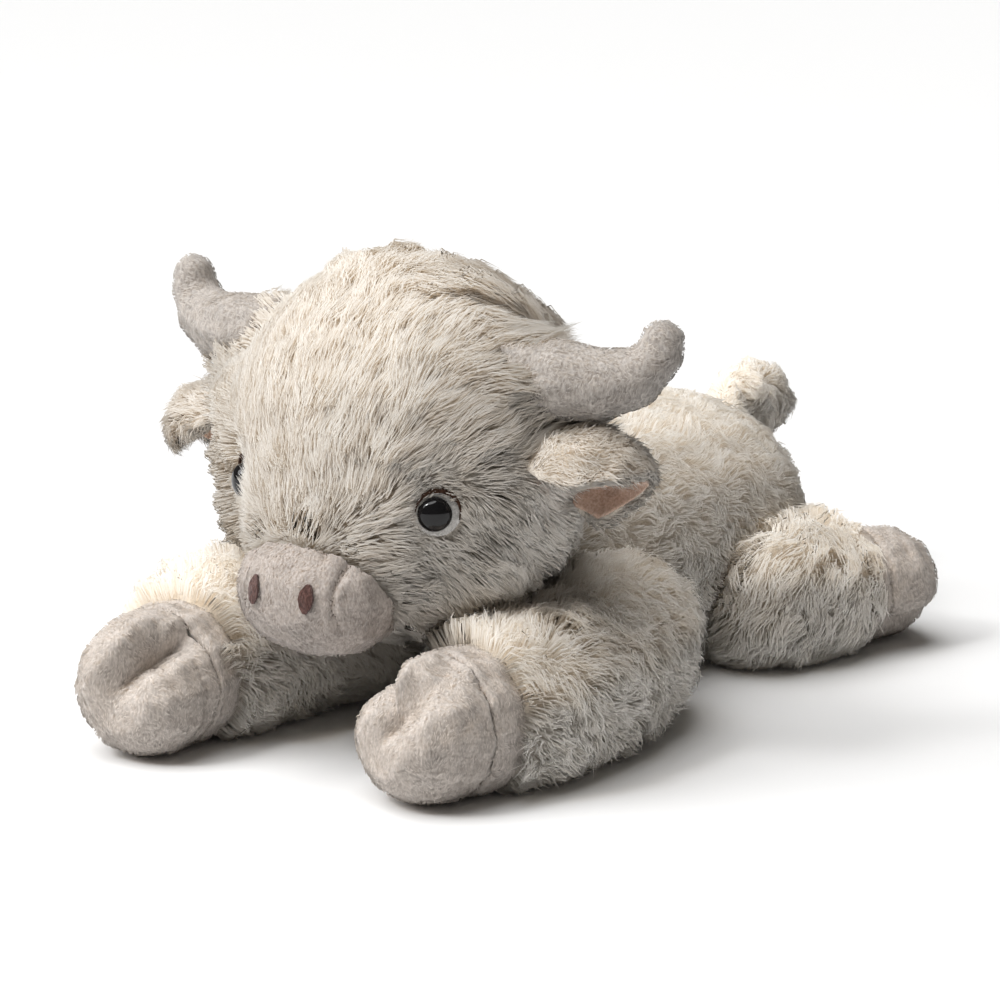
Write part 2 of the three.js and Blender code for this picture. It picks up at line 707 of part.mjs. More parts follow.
function addLeg(limb) {
  const { name, leg, side } = limb;
  const line = legLine(limb);
  const cuff = leg.length - leg.toe - leg.band;
  const toeStart = leg.length - leg.toe;
  const hinge = {
    place: line.at(leg.length * legHingeShare),
    axis: vec(0, 0, leg === foreleg ? side : -side),
    range: leg === foreleg ? swingDegrees.foreleg : swingDegrees.hindleg,
  };
  const bodies = leg === foreleg ? legCutters : legCutters.slice(0, 1);
  const cut = wasm.Manifold.union(bodies.map((geometry) => swept(geometry, hinge)));

  // The stuffing fills the leg from the sewn end to behind the cleft
  const setback = 2 * cleft.depth;
  const coreRows = [...sleeveRows(limb), ...toeRows(limb, setback)];
  const core = (wall) => solid(loft(
    legRings(limb, line, coreRows, wall, wall, coreSides.leg),
    legPole(line, -wall, leg.thigh),
    legPole(line, leg.length - setback + wall, leg.core),
  ));
  const cavity = core(clearance);
  cow.add(piece(`${name}_stuffing`, core(0).subtract(cut).subtract(floor), colours.fibre));

  // Fur sleeve, thin underneath where the hair is pressed down
  const sleeve = solid(loft(
    legRings(limb, line, sleeveRows(limb), furWall, nap.wall),
    legPole(line, -furWall, leg.thigh),
    legPole(line, cuff, leg.core),
  ));
  cow.add(piece(`${name}_sleeve`, sleeve.subtract(cavity).subtract(cut).subtract(floor), colours.fur));

  // Side band and toe of the hoof
  const bandRows = [[cuff + clearance, leg.core, 1], [toeStart - clearance, leg.core, 1]];
  const band = solid(loft(
    legRings(limb, line, bandRows, nap.wall, nap.wall),
    legPole(line, cuff + clearance, leg.core),
    legPole(line, toeStart - clearance, leg.core),
  ));
  cow.add(piece(`${name}_hoof_band`, band.subtract(cavity).subtract(cut).subtract(floor), colours.nap));

  const hoof = cloven(
    legRings(limb, line, toeRows(limb, 0), nap.wall, nap.wall),
    legPole(line, leg.length, leg.core),
    line,
    limb,
  );
  const toe = solid(loft(hoof.rings, legPole(line, toeStart, leg.core), hoof.tip));
  cow.add(piece(`${name}_hoof_toe`, toe.subtract(cavity).subtract(cut).subtract(floor), colours.nap));
  return hinge;
}
const legHinges = limbs.map(addLeg);

// The part's origin is under the middle of its box, on the floor
const box = new THREE.Box3().setFromObject(cow);
const middle = box.getCenter(vec());
cow.position.set(-middle.x, -middle.y, 0);

cow.userData.joints = {
  head_nod: headHinge,
  ear_left_flap: earHinges[0],
  ear_right_flap: earHinges[1],
  tail_wag: tailHinge,
  foreleg_left_spread: legHinges[0],
  foreleg_right_spread: legHinges[1],
  hindleg_left_spread: legHinges[2],
  hindleg_right_spread: legHinges[3],
};
Object.values(cow.userData.joints).forEach((hinge) => hinge.place.add(cow.position));
export default cow;
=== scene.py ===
# %% [markdown]
# # A long-haired plush cow
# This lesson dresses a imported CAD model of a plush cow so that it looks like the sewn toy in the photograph.
# The CAD model is the frame: it says where every piece is and what it moves with, and it is never moved.
# Each step says what the piece is on the real toy, how it could be made, and why this way was chosen.

# %% Load the frame
import json
import math
from contextlib import contextmanager

import bmesh
import bpy
import numpy as np
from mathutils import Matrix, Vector
from mathutils.bvhtree import BVHTree
from mathutils.kdtree import KDTree

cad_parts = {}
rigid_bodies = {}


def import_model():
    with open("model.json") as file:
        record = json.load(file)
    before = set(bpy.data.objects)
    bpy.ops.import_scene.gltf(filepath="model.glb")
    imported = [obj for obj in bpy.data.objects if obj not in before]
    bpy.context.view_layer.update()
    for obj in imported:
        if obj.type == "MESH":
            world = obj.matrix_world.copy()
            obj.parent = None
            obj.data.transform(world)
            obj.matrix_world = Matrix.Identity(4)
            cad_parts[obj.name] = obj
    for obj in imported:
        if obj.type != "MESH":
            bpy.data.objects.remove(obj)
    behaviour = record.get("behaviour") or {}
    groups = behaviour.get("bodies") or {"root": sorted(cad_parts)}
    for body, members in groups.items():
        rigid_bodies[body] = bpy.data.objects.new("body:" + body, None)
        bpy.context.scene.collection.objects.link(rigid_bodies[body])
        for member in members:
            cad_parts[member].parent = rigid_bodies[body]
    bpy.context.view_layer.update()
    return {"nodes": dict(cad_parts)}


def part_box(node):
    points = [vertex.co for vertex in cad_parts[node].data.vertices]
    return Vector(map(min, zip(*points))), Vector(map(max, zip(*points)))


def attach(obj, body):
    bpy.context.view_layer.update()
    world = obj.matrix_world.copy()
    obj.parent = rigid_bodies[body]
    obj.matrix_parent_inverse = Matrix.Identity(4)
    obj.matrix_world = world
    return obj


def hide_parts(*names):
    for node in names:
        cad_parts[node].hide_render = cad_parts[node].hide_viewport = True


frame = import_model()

MM = 0.001
BLACK, WHITE = (0, 0, 0), (1, 1, 1)
FORELEGS, HINDLEGS = ("foreleg_left", "foreleg_right"), ("hindleg_left", "hindleg_right")
LEGS = FORELEGS + HINDLEGS
SIDES = ("left", "right")

# %% [markdown]
# ## Camera
# The photograph looks at the cow's left side from 35 degrees round and 14.5 degrees up, through a long lens.
# A camera can be placed by eye, or by the angles and the distance at which the solids cover the photograph.
# The second way is used, because every later comparison depends on it.

# %% Camera
def direction(azimuth, elevation):
    """Unit vector from the toy towards a viewer: azimuth 0 is in front of the face."""
    a, e = math.radians(azimuth), math.radians(elevation)
    return Vector((math.sin(a) * math.cos(e), -math.cos(a) * math.cos(e), math.sin(e)))


def aimed(name, data, place, target):
    """A camera or lamp at a place, turned to look at its target."""
    holder = bpy.data.objects.new(name, data)
    holder.location = place
    holder.rotation_euler = (target - holder.location).to_track_quat("-Z", "Y").to_euler()
    bpy.context.scene.collection.objects.link(holder)
    return holder


LOOK_AT = Vector((0.0025, -0.0320, 0.0920))
VIEW_FROM, VIEW_DISTANCE = (35, 14.5), 1.818
lens = bpy.data.cameras.new("camera")
lens.lens, lens.sensor_width, lens.clip_end = 144, 36, 60
camera = aimed("camera", lens, LOOK_AT + direction(*VIEW_FROM) * VIEW_DISTANCE, LOOK_AT)
bpy.context.scene.camera = camera
print("camera at", [round(v, 3) for v in camera.location])

# %% [markdown]
# ## Making things by hand in code
# Every modelling step below follows the same habit: nothing selected, then one object active.
# A small set of helpers keeps that habit, so that no operator acts on the solids of the frame by mistake.

# %% Helpers for objects
def only(piece):
    """Selects one object and makes it the active one."""
    if bpy.context.object and bpy.context.object.mode != "OBJECT":
        bpy.ops.object.mode_set(mode="OBJECT")
    bpy.ops.object.select_all(action="DESELECT")
    piece.select_set(True)
    bpy.context.view_layer.objects.active = piece


@contextmanager
def editing(piece):
    """The piece alone in edit mode, with all of it selected."""
    only(piece)
    bpy.ops.object.mode_set(mode="EDIT")
    bpy.ops.mesh.select_all(action="SELECT")
    yield
    bpy.ops.object.mode_set(mode="OBJECT")


def settle(piece, name):
    """Names a new piece and puts its place into its mesh."""
    only(piece)
    bpy.ops.object.transform_apply(location=True, rotation=True, scale=True)
    piece.name = piece.data.name = name
    return piece


def modified(piece, kind, **values):
    """Adds a modifier, sets it and applies it."""
    only(piece)
    modifier = piece.modifiers.new(kind.lower(), kind)
    for key, value in values.items():
        setattr(modifier, key, value)
    bpy.ops.object.modifier_apply(modifier=modifier.name)

print("helpers for objects ready")

# %% Helpers for points
def points_of(piece):
    """The mesh's points as rows of an array, in metres."""
    rows = np.empty(len(piece.data.vertices) * 3, np.float32)
    piece.data.vertices.foreach_get("co", rows)
    return rows.reshape(-1, 3)


def set_points(piece, rows):
    piece.data.vertices.foreach_set("co", np.ascontiguousarray(rows, np.float32).ravel())
    piece.data.update()

print("helpers for points ready")

# %% Helpers for pieces that start from a CAD node
def copy_of(node, name):
    """A piece that starts as a merged copy of a CAD node."""
    mesh = frame["nodes"][node].data.copy()
    mesh.materials.clear()
    mesh.name = name
    piece = bpy.data.objects.new(name, mesh)
    bpy.context.scene.collection.objects.link(piece)
    with editing(piece):
        bpy.ops.mesh.remove_doubles(threshold=0.00002)
    return piece


def rounded(node, name, voxel, passes, swell=0.0):
    """A copy of a node in even cells, smoothed, and moved outwards by what the smoothing took away."""
    piece = copy_of(node, name)
    modified(piece, "REMESH", mode="VOXEL", voxel_size=voxel)
    modified(piece, "SMOOTH", factor=0.5, iterations=passes)
    if swell:
        modified(piece, "DISPLACE", strength=swell, mid_level=0.0)
    return piece


def dressed(piece, body, material, slot, *nodes, smooth=False, fill=0):
    """Gives a finished piece its material and body, and hides the nodes it stands for; its record slot and its
    filling are not used.
    """
    if smooth:
        piece.data.polygons.foreach_set("use_smooth", [True] * len(piece.data.polygons))
        piece.data.update()
    piece.data.materials.clear()
    piece.data.materials.append(material)
    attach(piece, body)
    if nodes:
        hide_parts(*nodes)

print("helpers for pieces ready")

# %% Helpers for rows of numbers
def ripple(places, wavelength, seed, waves=7):
    """Smooth noise from -1 to 1 at rows of places: a few sine waves in random directions."""
    rng = np.random.default_rng(seed)
    aim = rng.normal(size=(waves, 3))
    aim /= np.linalg.norm(aim, axis=1)[:, None]
    turns = 2 * np.pi / (wavelength * rng.uniform(0.7, 1.4, waves))
    value = np.sin(places @ (aim * turns[:, None]).T + rng.uniform(0, 2 * np.pi, waves)).sum(axis=1)
    return value / np.sqrt(waves / 2) / 1.6


def smoothstep(value, low, high):
    t = np.clip((value - low) / (high - low), 0, 1)
    return t * t * (3 - 2 * t)


def unit(rows):
    return rows / np.maximum(np.linalg.norm(rows, axis=-1, keepdims=True), 1e-12)


def vectors(*columns):
    """Rows of vectors from their columns; a plain number is the same in every row."""
    return np.stack(np.broadcast_arrays(*columns), 1)

print("a ripple at three places:", np.round(ripple(np.eye(3) * MM, 0.01, 1), 2))

# %% [markdown]
# ## Materials
# Plush is not one colour. Each hair is painted darker at its root than at its tip, as painted shade deep in the pile,
# and hairs differ from each other.
# That could be painted from where a hair stands, but a pattern on the hair's own map stays with it when the
# toy moves. So each hair's map says how far along the hair a point is, and how light that hair is.
# A modelled hair is ten times as thick as a fibre, so its shadow would be too hard. Lamps shine through part of it.

# %% Material helpers
def put(tree, socket, value):
    """Links a socket to another node's output, or gives it a plain value; a colour is three numbers."""
    if isinstance(value, bpy.types.NodeSocket):
        tree.links.new(value, socket)
    else:
        socket.default_value = (*value, 1) if socket.type == "RGBA" else value


def node(tree, kind, inputs, **settings):
    """A node with its settings, and its inputs as plain values or as other nodes' outputs."""
    added = tree.nodes.new("ShaderNode" + kind)
    for key, value in settings.items():
        setattr(added, key, value)
    for key, value in inputs.items():
        put(tree, added.inputs[key], value)
    return added


def new_material(name, **values):
    """A material whose Principled shader has these plain values; also returns its tree."""
    material = bpy.data.materials.new(name)
    material.use_nodes = True
    shader = material.node_tree.nodes["Principled BSDF"]
    for key, value in values.items():
        put(material.node_tree, shader.inputs[key.replace("_", " ")], value)
    return material, material.node_tree, shader


def ramp(tree, share, *stops):
    """The colour of a ramp at a share from 0 to 1, with its stops as (place, colour)."""
    made = node(tree, "ValToRGB", {0: share})
    band = made.color_ramp.elements
    while len(band) < len(stops):
        band.new(0.5)
    for element, (place, colour) in zip(band, stops):
        element.position, element.color = place, (*colour, 1)
    return made.outputs[0]


def mixed(tree, kind, share, first, second):
    """The colour of two mixed ones; the share may be a number or an output."""
    return node(tree, "Mix", {0: share, 6: first, 7: second}, data_type="RGBA", blend_type=kind).outputs[2]


def hair_material(name, root, middle, tip, dark, through=(0.82, 0.77, 0.70)):
    """Hair: its colour runs from root to tip along the map's V, darker at the root as painted shade deep in the pile,
    and its own tone along the map's U.
    """
    material, tree, shader = new_material(name, Roughness=0.75, Specular_IOR_Level=0.25)
    hair_map = node(tree, "UVMap", {}, uv_map="OFBake")
    u, v, _ = node(tree, "SeparateXYZ", {0: hair_map.outputs[0]}).outputs
    # The ramp's darker root is painted shade deep in the pile.
    lengthwise = ramp(tree, v, (0.0, root), (0.45, middle), (1.0, tip))
    colour = mixed(tree, "MULTIPLY", 1.0, lengthwise, ramp(tree, u, (0.0, dark), (1.0, WHITE)))
    put(tree, shader.inputs["Base Color"], colour)
    gap = node(tree, "BsdfTransparent", {"Color": through})
    shadow = node(tree, "LightPath", {}).outputs["Is Shadow Ray"]
    both = node(tree, "MixShader", {0: shadow, 1: shader.outputs[0], 2: gap.outputs[0]})
    put(tree, tree.nodes["Material Output"].inputs["Surface"], both.outputs[0])
    return material


# One plush in two copies: the head's is painted darker, as painted shade, and the body's, legs' and tail's lighter,
# as painted light.
painted_shade_head_hair = hair_material("plush_hair_painted_shade", root=(0.59, 0.53, 0.455), middle=(0.69, 0.65, 0.595),
                          tip=(0.765, 0.74, 0.70), dark=(0.87, 0.85, 0.825))
painted_light_body_hair = hair_material("plush_body_hair_painted_light", root=(0.71, 0.645, 0.565), middle=(0.87, 0.83, 0.77),
                          tip=(0.94, 0.91, 0.865), dark=(0.89, 0.87, 0.84), through=(0.88, 0.84, 0.78))
print("hair materials:", painted_shade_head_hair.name, painted_light_body_hair.name)

# %% [markdown]
# The knitted backing under the hair is hardly seen, but a bald patch of one flat colour would show in a parting. Its
# colour is the pile's shaded colour, painted shade between the hairs.
# Backing, felt, thread and short minky are all mottled nap, so that effect is one node group, made once and
# placed in each material with its own size and colours.

# %% Backing and fibre
def node_group(name, inputs, outputs):
    """An empty group with its sockets made; also returns what it is given and what it shows."""
    group = bpy.data.node_groups.new(name, "ShaderNodeTree")
    for way, sockets in (("INPUT", inputs), ("OUTPUT", outputs)):
        for title, kind in sockets.items():
            group.interface.new_socket(title, in_out=way, socket_type="NodeSocket" + kind)
    return group, group.nodes.new("NodeGroupInput").outputs, group.nodes.new("NodeGroupOutput").inputs


def on_object(tree, group, **inputs):
    """A group placed in a material on the piece's own Object coordinates; returns its outputs."""
    place = node(tree, "TexCoord", {}).outputs["Object"]
    return node(tree, "Group", {"Place": place, **inputs}, node_tree=group).outputs


def nap_group():
    """Mottled, slightly streaked nap: a colour and a height from a place on the cloth."""
    inputs = dict(Place="Vector", Streak="Vector", Scale="Float", Dark="Color", Middle="Color", Light="Color")
    group, given, shown = node_group("short_nap", inputs, dict(Colour="Color", Height="Float"))
    streaked = node(group, "VectorMath", {0: given["Place"], 1: given["Streak"]}, operation="MULTIPLY").outputs[0]
    coarser = node(group, "Math", {0: given["Scale"], 1: 0.15}, operation="MULTIPLY").outputs[0]
    fine = node(group, "TexNoise", {"Vector": streaked, "Scale": given["Scale"], "Detail": 4}).outputs["Fac"]
    broad = node(group, "TexNoise", {"Vector": given["Place"], "Scale": coarser, "Detail": 3}).outputs["Fac"]
    colour = mixed(group, "MIX", ramp(group, fine, (0.34, BLACK), (0.52, WHITE)), given["Dark"], given["Middle"])
    colour = mixed(group, "MIX", ramp(group, fine, (0.50, BLACK), (0.68, WHITE)), colour, given["Light"])
    patches = ramp(group, broad, (0.35, (0.84, 0.84, 0.84)), (0.62, WHITE))
    put(group, shown["Colour"], mixed(group, "MULTIPLY", 1.0, colour, patches))
    put(group, shown["Height"], fine)
    return group


short_nap = nap_group()


def cloth_material(name, dark, middle, light, grain, bump, sheen=0.0, streak=(1, 1, 1)):
    """Short-napped or knitted cloth; grain is the nap's size in metres."""
    material, tree, shader = new_material(name, Roughness=0.95, Specular_IOR_Level=0.15,
                                          Sheen_Weight=sheen, Sheen_Roughness=0.5)
    nap = on_object(tree, short_nap, Streak=streak, Scale=1 / grain, Dark=dark, Middle=middle, Light=light)
    put(tree, shader.inputs["Base Color"], nap["Colour"])
    relief = node(tree, "Bump", {"Strength": bump, "Distance": 0.0006, "Height": nap["Height"]})
    put(tree, shader.inputs["Normal"], relief.outputs[0])
    return material


# The backing's colour is the pile's shaded colour: painted shade between the hairs.
painted_shade_knit = cloth_material("knitted_backing_painted_shade", (0.56, 0.505, 0.435), (0.66, 0.60, 0.525), (0.72, 0.665, 0.59), 0.0012, 0.6)
fibre = cloth_material("loose_fibre", (0.70, 0.69, 0.66), (0.82, 0.81, 0.78), (0.9, 0.9, 0.88), 0.003, 0.8)
print("cloth materials ready")

# %% [markdown]
# ## Stuffed forms
# A stuffed skin is a crowned closed form. Its CAD solid has the right place and size, in flat facets.
# It could be subdivided, but its cut faces would crease. A voxel remesh makes even cells first, and then
# smoothing rounds it. The stuffing's solid is the start, grown by the backing's thickness for the skin.

# %% Stuffed skins and their stuffing
# For each furred form: the node of its skin, the cells and smoothing of its remesh, and the skin's own thickness.
furred = {"torso": ("torso_skin", 0.0040, 14, 0.0040), "head": ("head_skin", 0.0035, 14, 0.0045),
          "tail": ("tail_skin", 0.0015, 6, 0.0030)}
furred.update({leg: (f"{leg}_sleeve", 0.0025, 10, 0.0030) for leg in LEGS})
skins = {}
for form, (_, voxel, passes, thick) in furred.items():
    skins[form] = rounded(f"{form}_stuffing", f"{form}_backing", voxel, passes, thick)
    print(form, "skin form:", len(skins[form].data.vertices), "points")

# %% [markdown]
# ## One hair, copied many times
# Long plush is thousands of fibres in wavy locks. Particle hair would comb well, but it isn't a mesh that a part
# can keep. So one closed three-sided hair is modelled with operators, and the coat copies it along combed paths.

# %% One hair
def hair_shape(widest):
    """A closed three-sided hair from z 0 to 1: its root and its tip are points, and a height is its widest."""
    bpy.ops.object.select_all(action="DESELECT")
    bpy.ops.mesh.primitive_cone_add(vertices=3, radius1=1, radius2=0, depth=1 - widest, end_fill_type="NOTHING",
                                    location=(0, 0, (1 + widest) / 2))
    piece = settle(bpy.context.object, "one_hair")
    with editing(piece):
        bpy.ops.mesh.select_all(action="DESELECT")
        shape = bmesh.from_edit_mesh(piece.data)
        for edge in shape.edges:
            edge.select = all(abs(point.co.z - widest) < 0.001 for point in edge.verts)
        shape.select_flush(True)
        bpy.ops.mesh.extrude_region_move(TRANSFORM_OT_translate={"value": (0, 0, -widest)})
        bpy.ops.mesh.merge(type="CENTER")
        bpy.ops.mesh.select_all(action="SELECT")
        bpy.ops.mesh.quads_convert_to_tris()
        bpy.ops.mesh.normals_make_consistent(inside=False)
    rows = points_of(piece).astype(np.float64)
    faces = np.array([list(face.vertices) for face in piece.data.polygons])
    bpy.data.objects.remove(piece)
    return rows, faces


HAIR_ROWS, HAIR_FACES = hair_shape(widest=0.42)
print("a hair has", len(HAIR_FACES), "faces")

# %% [markdown]
# ## Combing
# A comb has to know where hairs are rooted, what they lie against, how a lock runs and how its hairs follow it.
# A lock is a guide that walks over the skin in small steps, in the direction that the pile lies there, while it
# rises to the height of the pile. The hairs round a guide follow it and draw together towards its tip.
# Walking on the skin costs more than a straight hair, but the coat then lies round the form as brushed pile does.

# %% Roots on a skin
class Skin:
    """A form's triangles with what the comb asks of them: places, normals and the nearest point."""

    def __init__(self, piece):
        mesh = piece.data
        mesh.calc_loop_triangles()
        self.points = points_of(piece).astype(np.float64)
        self.triangles = np.empty(len(mesh.loop_triangles) * 3, np.int32)
        mesh.loop_triangles.foreach_get("vertices", self.triangles)
        self.triangles = self.triangles.reshape(-1, 3)
        a, b, c = (self.points[self.triangles[:, k]] for k in range(3))
        across = np.cross(b - a, c - a)
        self.areas = np.linalg.norm(across, axis=1) / 2
        point_normals = np.zeros_like(self.points)
        for k in range(3):
            np.add.at(point_normals, self.triangles[:, k], across)
        self.point_normals = unit(point_normals)
        self.face_normals = unit(self.point_normals[self.triangles].sum(axis=1))
        self.tree = BVHTree.FromPolygons(self.points.tolist(), self.triangles.tolist())

    def roots(self, count, rng):
        """Places spread evenly by area, with their normals."""
        ladder = np.cumsum(self.areas)
        marks = (np.arange(count) + rng.uniform(0, 1, count)) / count * ladder[-1]
        which = np.clip(np.searchsorted(ladder, marks), 0, len(ladder) - 1)
        u, v = rng.uniform(0, 1, (2, count))
        flip = u + v > 1
        u[flip], v[flip] = 1 - u[flip], 1 - v[flip]
        share = np.stack([1 - u - v, u, v], axis=1)[:, :, None]
        corners = self.triangles[which]
        return (self.points[corners] * share).sum(axis=1), unit((self.point_normals[corners] * share).sum(axis=1))

    def nearest(self, places):
        """Nearest points of the skin and the normals there."""
        found = [self.tree.find_nearest(place) for place in places.tolist()]
        return np.array([hit[0][:] for hit in found]), self.face_normals[[hit[2] for hit in found]]

print("roots ready")

# %% Neighbours of a coat
class Neighbours:
    """The pieces that a coat lies against: hairs neither start in them nor pass through them."""

    def __init__(self, nodes):
        points, faces, start = [], [], 0
        for node in nodes:
            mesh = frame["nodes"][node].data
            points += [point.co[:] for point in mesh.vertices]
            faces += [[start + k for k in face.vertices] for face in mesh.polygons]
            start = len(points)
        self.tree = BVHTree.FromPolygons(points, faces) if faces else None

    def holds(self, places, reach):
        """True where a place is inside a neighbour, or closer to it than reach."""
        inside = np.zeros(len(places), bool)
        if self.tree:
            for k, place in enumerate(places.tolist()):
                spot, normal, _, distance = self.tree.find_nearest(place, 0.03)
                if spot is not None:
                    inside[k] = distance < reach or (Vector(place) - spot).dot(normal) < 0
        return inside

    def distance(self, places, most=0.03):
        """Distance of each place from the neighbours' surface, up to most."""
        found = (self.tree.find_nearest(place, most) for place in places.tolist())
        return np.array([most if hit[0] is None else hit[3] for hit in found])

    def lifted(self, places, gap):
        """Places that are inside a neighbour are moved out to its surface, plus a gap."""
        for k, place in enumerate(places.tolist()):
            spot, normal, _, distance = self.tree.find_nearest(place, 0.012)
            if spot is not None and ((Vector(place) - spot).dot(normal) < 0 or distance < gap):
                places[k] = spot + normal * gap
        return places

    def free_share(self, paths):
        """How much of each path, from 0 to 1, runs before it meets a neighbour."""
        share = np.ones(len(paths))
        if self.tree:
            steps = paths.shape[1] - 1
            for k, path in enumerate(paths.tolist()):
                for step in range(steps):
                    way = Vector(path[step + 1]) - Vector(path[step])
                    hit = self.tree.ray_cast(path[step], way, way.length)
                    if hit[0] is not None:
                        share[k] = (step + max(0.0, hit[3] / way.length - 0.1)) / steps
                        break
        return share

print("neighbours ready")

# %% Guides
# The steps of a guide, the least share of it that must be free, and the lowest that a hair may lie, in metres.
STEPS, SHORTEST, LOWEST = 6, 0.25, 0.0008


def along(paths, places):
    """Points of each path at its places, from 0 to 1; places has one row of values for each path."""
    spot = np.clip(places, 0, 1) * (paths.shape[1] - 1)
    low = np.minimum(spot.astype(int), paths.shape[1] - 2)
    share = (spot - low)[..., None]
    rows = np.arange(len(paths))[:, None]
    return paths[rows, low] * (1 - share) + paths[rows, low + 1] * share


def at(value, place, normal):
    """A look's number, or what its function says at these places."""
    return value(place, normal) if callable(value) else value


def comb(skin, look, rng):
    """Guides: one path for each lock, that walks over the skin and rises to the height of the pile."""
    seed, wander = look["seed"], np.radians(look["wander"])
    root, normal = skin.roots(int(skin.areas.sum() / look["lock"] ** 2), rng)
    kept = rng.uniform(0, 1, len(root)) < look["cover"](root, normal)
    kept &= ~look["beside"].holds(root, 0.0004)
    if "over" in look:
        kept &= ~look["over"].holds(root, 0.0)
    root, normal = root[kept], normal[kept]
    count = len(root)
    length = at(look["length"], root, normal) * rng.uniform(*look["vary"], count)
    length *= 1 + 0.12 * ripple(root, 0.015, seed + 5)
    turn = np.radians(look["stray"]) * rng.normal(size=count) * 0.6
    turn += wander * ripple(root, 0.026, seed)
    turn += wander * 0.5 * ripple(root, 0.011, seed + 1)
    curl = np.radians(look["curl"]) * rng.normal(size=count)
    rise = at(look["rise"], root, normal) * rng.uniform(0.8, 1.2, count) * (1 + 0.16 * ripple(root, 0.014, seed + 2))
    paths = np.empty((count, STEPS + 1, 3))
    paths[:, 0] = root
    foot, up = root, normal
    for step in range(1, STEPS + 1):
        t = step / STEPS
        way = look["flow"](foot, up)
        way = unit(way - up * (way * up).sum(axis=1, keepdims=True))
        side = np.cross(up, way)
        angle = turn + curl * math.sin(2.2 * math.pi * t)
        way = way * np.cos(angle)[:, None] + side * np.sin(angle)[:, None]
        reach = length / STEPS * (0.55 if step == 1 else 1.0)
        foot, up = skin.nearest(foot + way * reach[:, None])
        height = rise * (1 - (1 - min(1, t / 0.55)) ** 2) * (1 - 0.25 * max(0, t - 0.55) / 0.45)
        place = foot + up * height[:, None]
        if "lean" in look:
            place = place + look["lean"](root) * t ** 1.5
        if "over" in look:
            place = look["over"].lifted(place, look["gap"])
        place[:, 2] = np.where(place[:, 2] < LOWEST, LOWEST + 0.0004 * rng.uniform(0, 1, count), place[:, 2])
        paths[:, step] = place
    share = look["beside"].free_share(paths)
    return along(paths, np.linspace(0, 1, STEPS + 1)[None] * share[:, None])[share > SHORTEST]

print("a guide takes", STEPS, "steps")

# %% Hairs round the guides
def coat(look, skin):
    """All the hairs of one coat: their points, their tones, and the directions that their shading uses."""
    rng = np.random.default_rng(look["seed"])
    guides = comb(skin, look, rng)
    tree = KDTree(len(guides))
    for k, place in enumerate(guides[:, 0].tolist()):
        tree.insert(place, k)
    tree.balance()
    root, normal = skin.roots(int(look["count"]), rng)
    found = [tree.find_n(place, 3) for place in root.tolist()]
    locks = np.array([[hit[1] for hit in hits] for hits in found])
    away = np.array([[hit[2] for hit in hits] for hits in found])
    near = away[:, 0] < look["lock"] * 1.3
    root, normal, locks, away = root[near], normal[near], locks[near], away[near]
    count = len(root)
    weight = 1 / (away + 0.0004) ** 2 * (away < look["lock"] * 2.2)
    weight /= weight.sum(axis=1, keepdims=True)
    way = sum((guides[locks[:, k]] - guides[locks[:, k], :1]) * weight[:, k, None, None] for k in range(3))
    pull = (guides[locks[:, 0], 0] - root)[:, None, :] * look["draw"]
    steps = np.linspace(0, 1, STEPS + 1)[None, :, None]
    loose = rng.normal(size=(count, 1, 3)) * look["loose"]
    path = root[:, None, :] + way + pull * steps ** 1.3 + loose * steps ** 1.6
    path = along(path, np.linspace(0, 1, STEPS + 1)[None] * rng.uniform(0.62, 1.0, count)[:, None])
    path[..., 2] = np.maximum(path[..., 2], 0.0005)
    places = HAIR_ROWS[:, 2][None].repeat(count, axis=0)
    centre = along(path, places)
    ahead = unit(along(path, np.clip(places + 0.12, 0, 1)) - along(path, np.clip(places - 0.12, 0, 1)))
    side = unit(np.cross(ahead, normal[:, None, :]))
    lift = np.cross(ahead, side)
    width = look["width"] * rng.uniform(0.75, 1.25, count)[:, None, None] / 2
    around = side * HAIR_ROWS[None, :, 0, None] + lift * HAIR_ROWS[None, :, 1, None]
    shading = unit(normal[:, None, :] * 0.8 + around * 0.28 + ahead * 0.12)
    tone = np.clip(0.5 + 0.22 * rng.normal(size=count) + 0.28 * rng.normal(size=len(guides))[locks[:, 0]]
                   + 0.18 * ripple(root, 0.03, look["seed"] + 9), 0.02, 0.98)
    return centre + around * width, tone, shading

print("hairs ready to follow their guides")

# %% A piece of many hairs
def hair_piece(name, points, tone, shading, body, slot, material):
    """One mesh of many hairs, with the map that its material reads."""
    count, size = len(points), points.shape[1]
    mesh = bpy.data.meshes.new(name)
    faces = (HAIR_FACES[None] + (np.arange(count) * size)[:, None, None]).reshape(-1, 3)
    mesh.vertices.add(count * size)
    mesh.vertices.foreach_set("co", points.astype(np.float32).ravel())
    mesh.loops.add(len(faces) * 3)
    mesh.loops.foreach_set("vertex_index", faces.astype(np.int32).ravel())
    mesh.polygons.add(len(faces))
    mesh.polygons.foreach_set("loop_start", np.arange(0, len(faces) * 3, 3, dtype=np.int32))
    mesh.polygons.foreach_set("use_smooth", np.ones(len(faces), bool))
    mesh.update(calc_edges=True)
    across, rise = HAIR_ROWS[:, :2], HAIR_ROWS[:, 2]
    shift = np.where(np.hypot(*across.T) > 0.01, 0.006 * np.sin(np.arctan2(across[:, 1], across[:, 0]) + 0.4), 0)
    u = tone[:, None, None] * 0.96 + 0.02 + shift[HAIR_FACES][None]
    v = (0.01 + 0.98 * rise)[HAIR_FACES][None].repeat(count, axis=0)
    layer = mesh.uv_layers.new(name="OFBake")
    layer.data.foreach_set("uv", np.stack([u, v], axis=-1).astype(np.float32).ravel())
    mesh.normals_split_custom_set_from_vertices(shading.reshape(-1, 3).tolist())
    piece = bpy.data.objects.new(name, mesh)
    bpy.context.scene.collection.objects.link(piece)
    dressed(piece, body, material, slot)


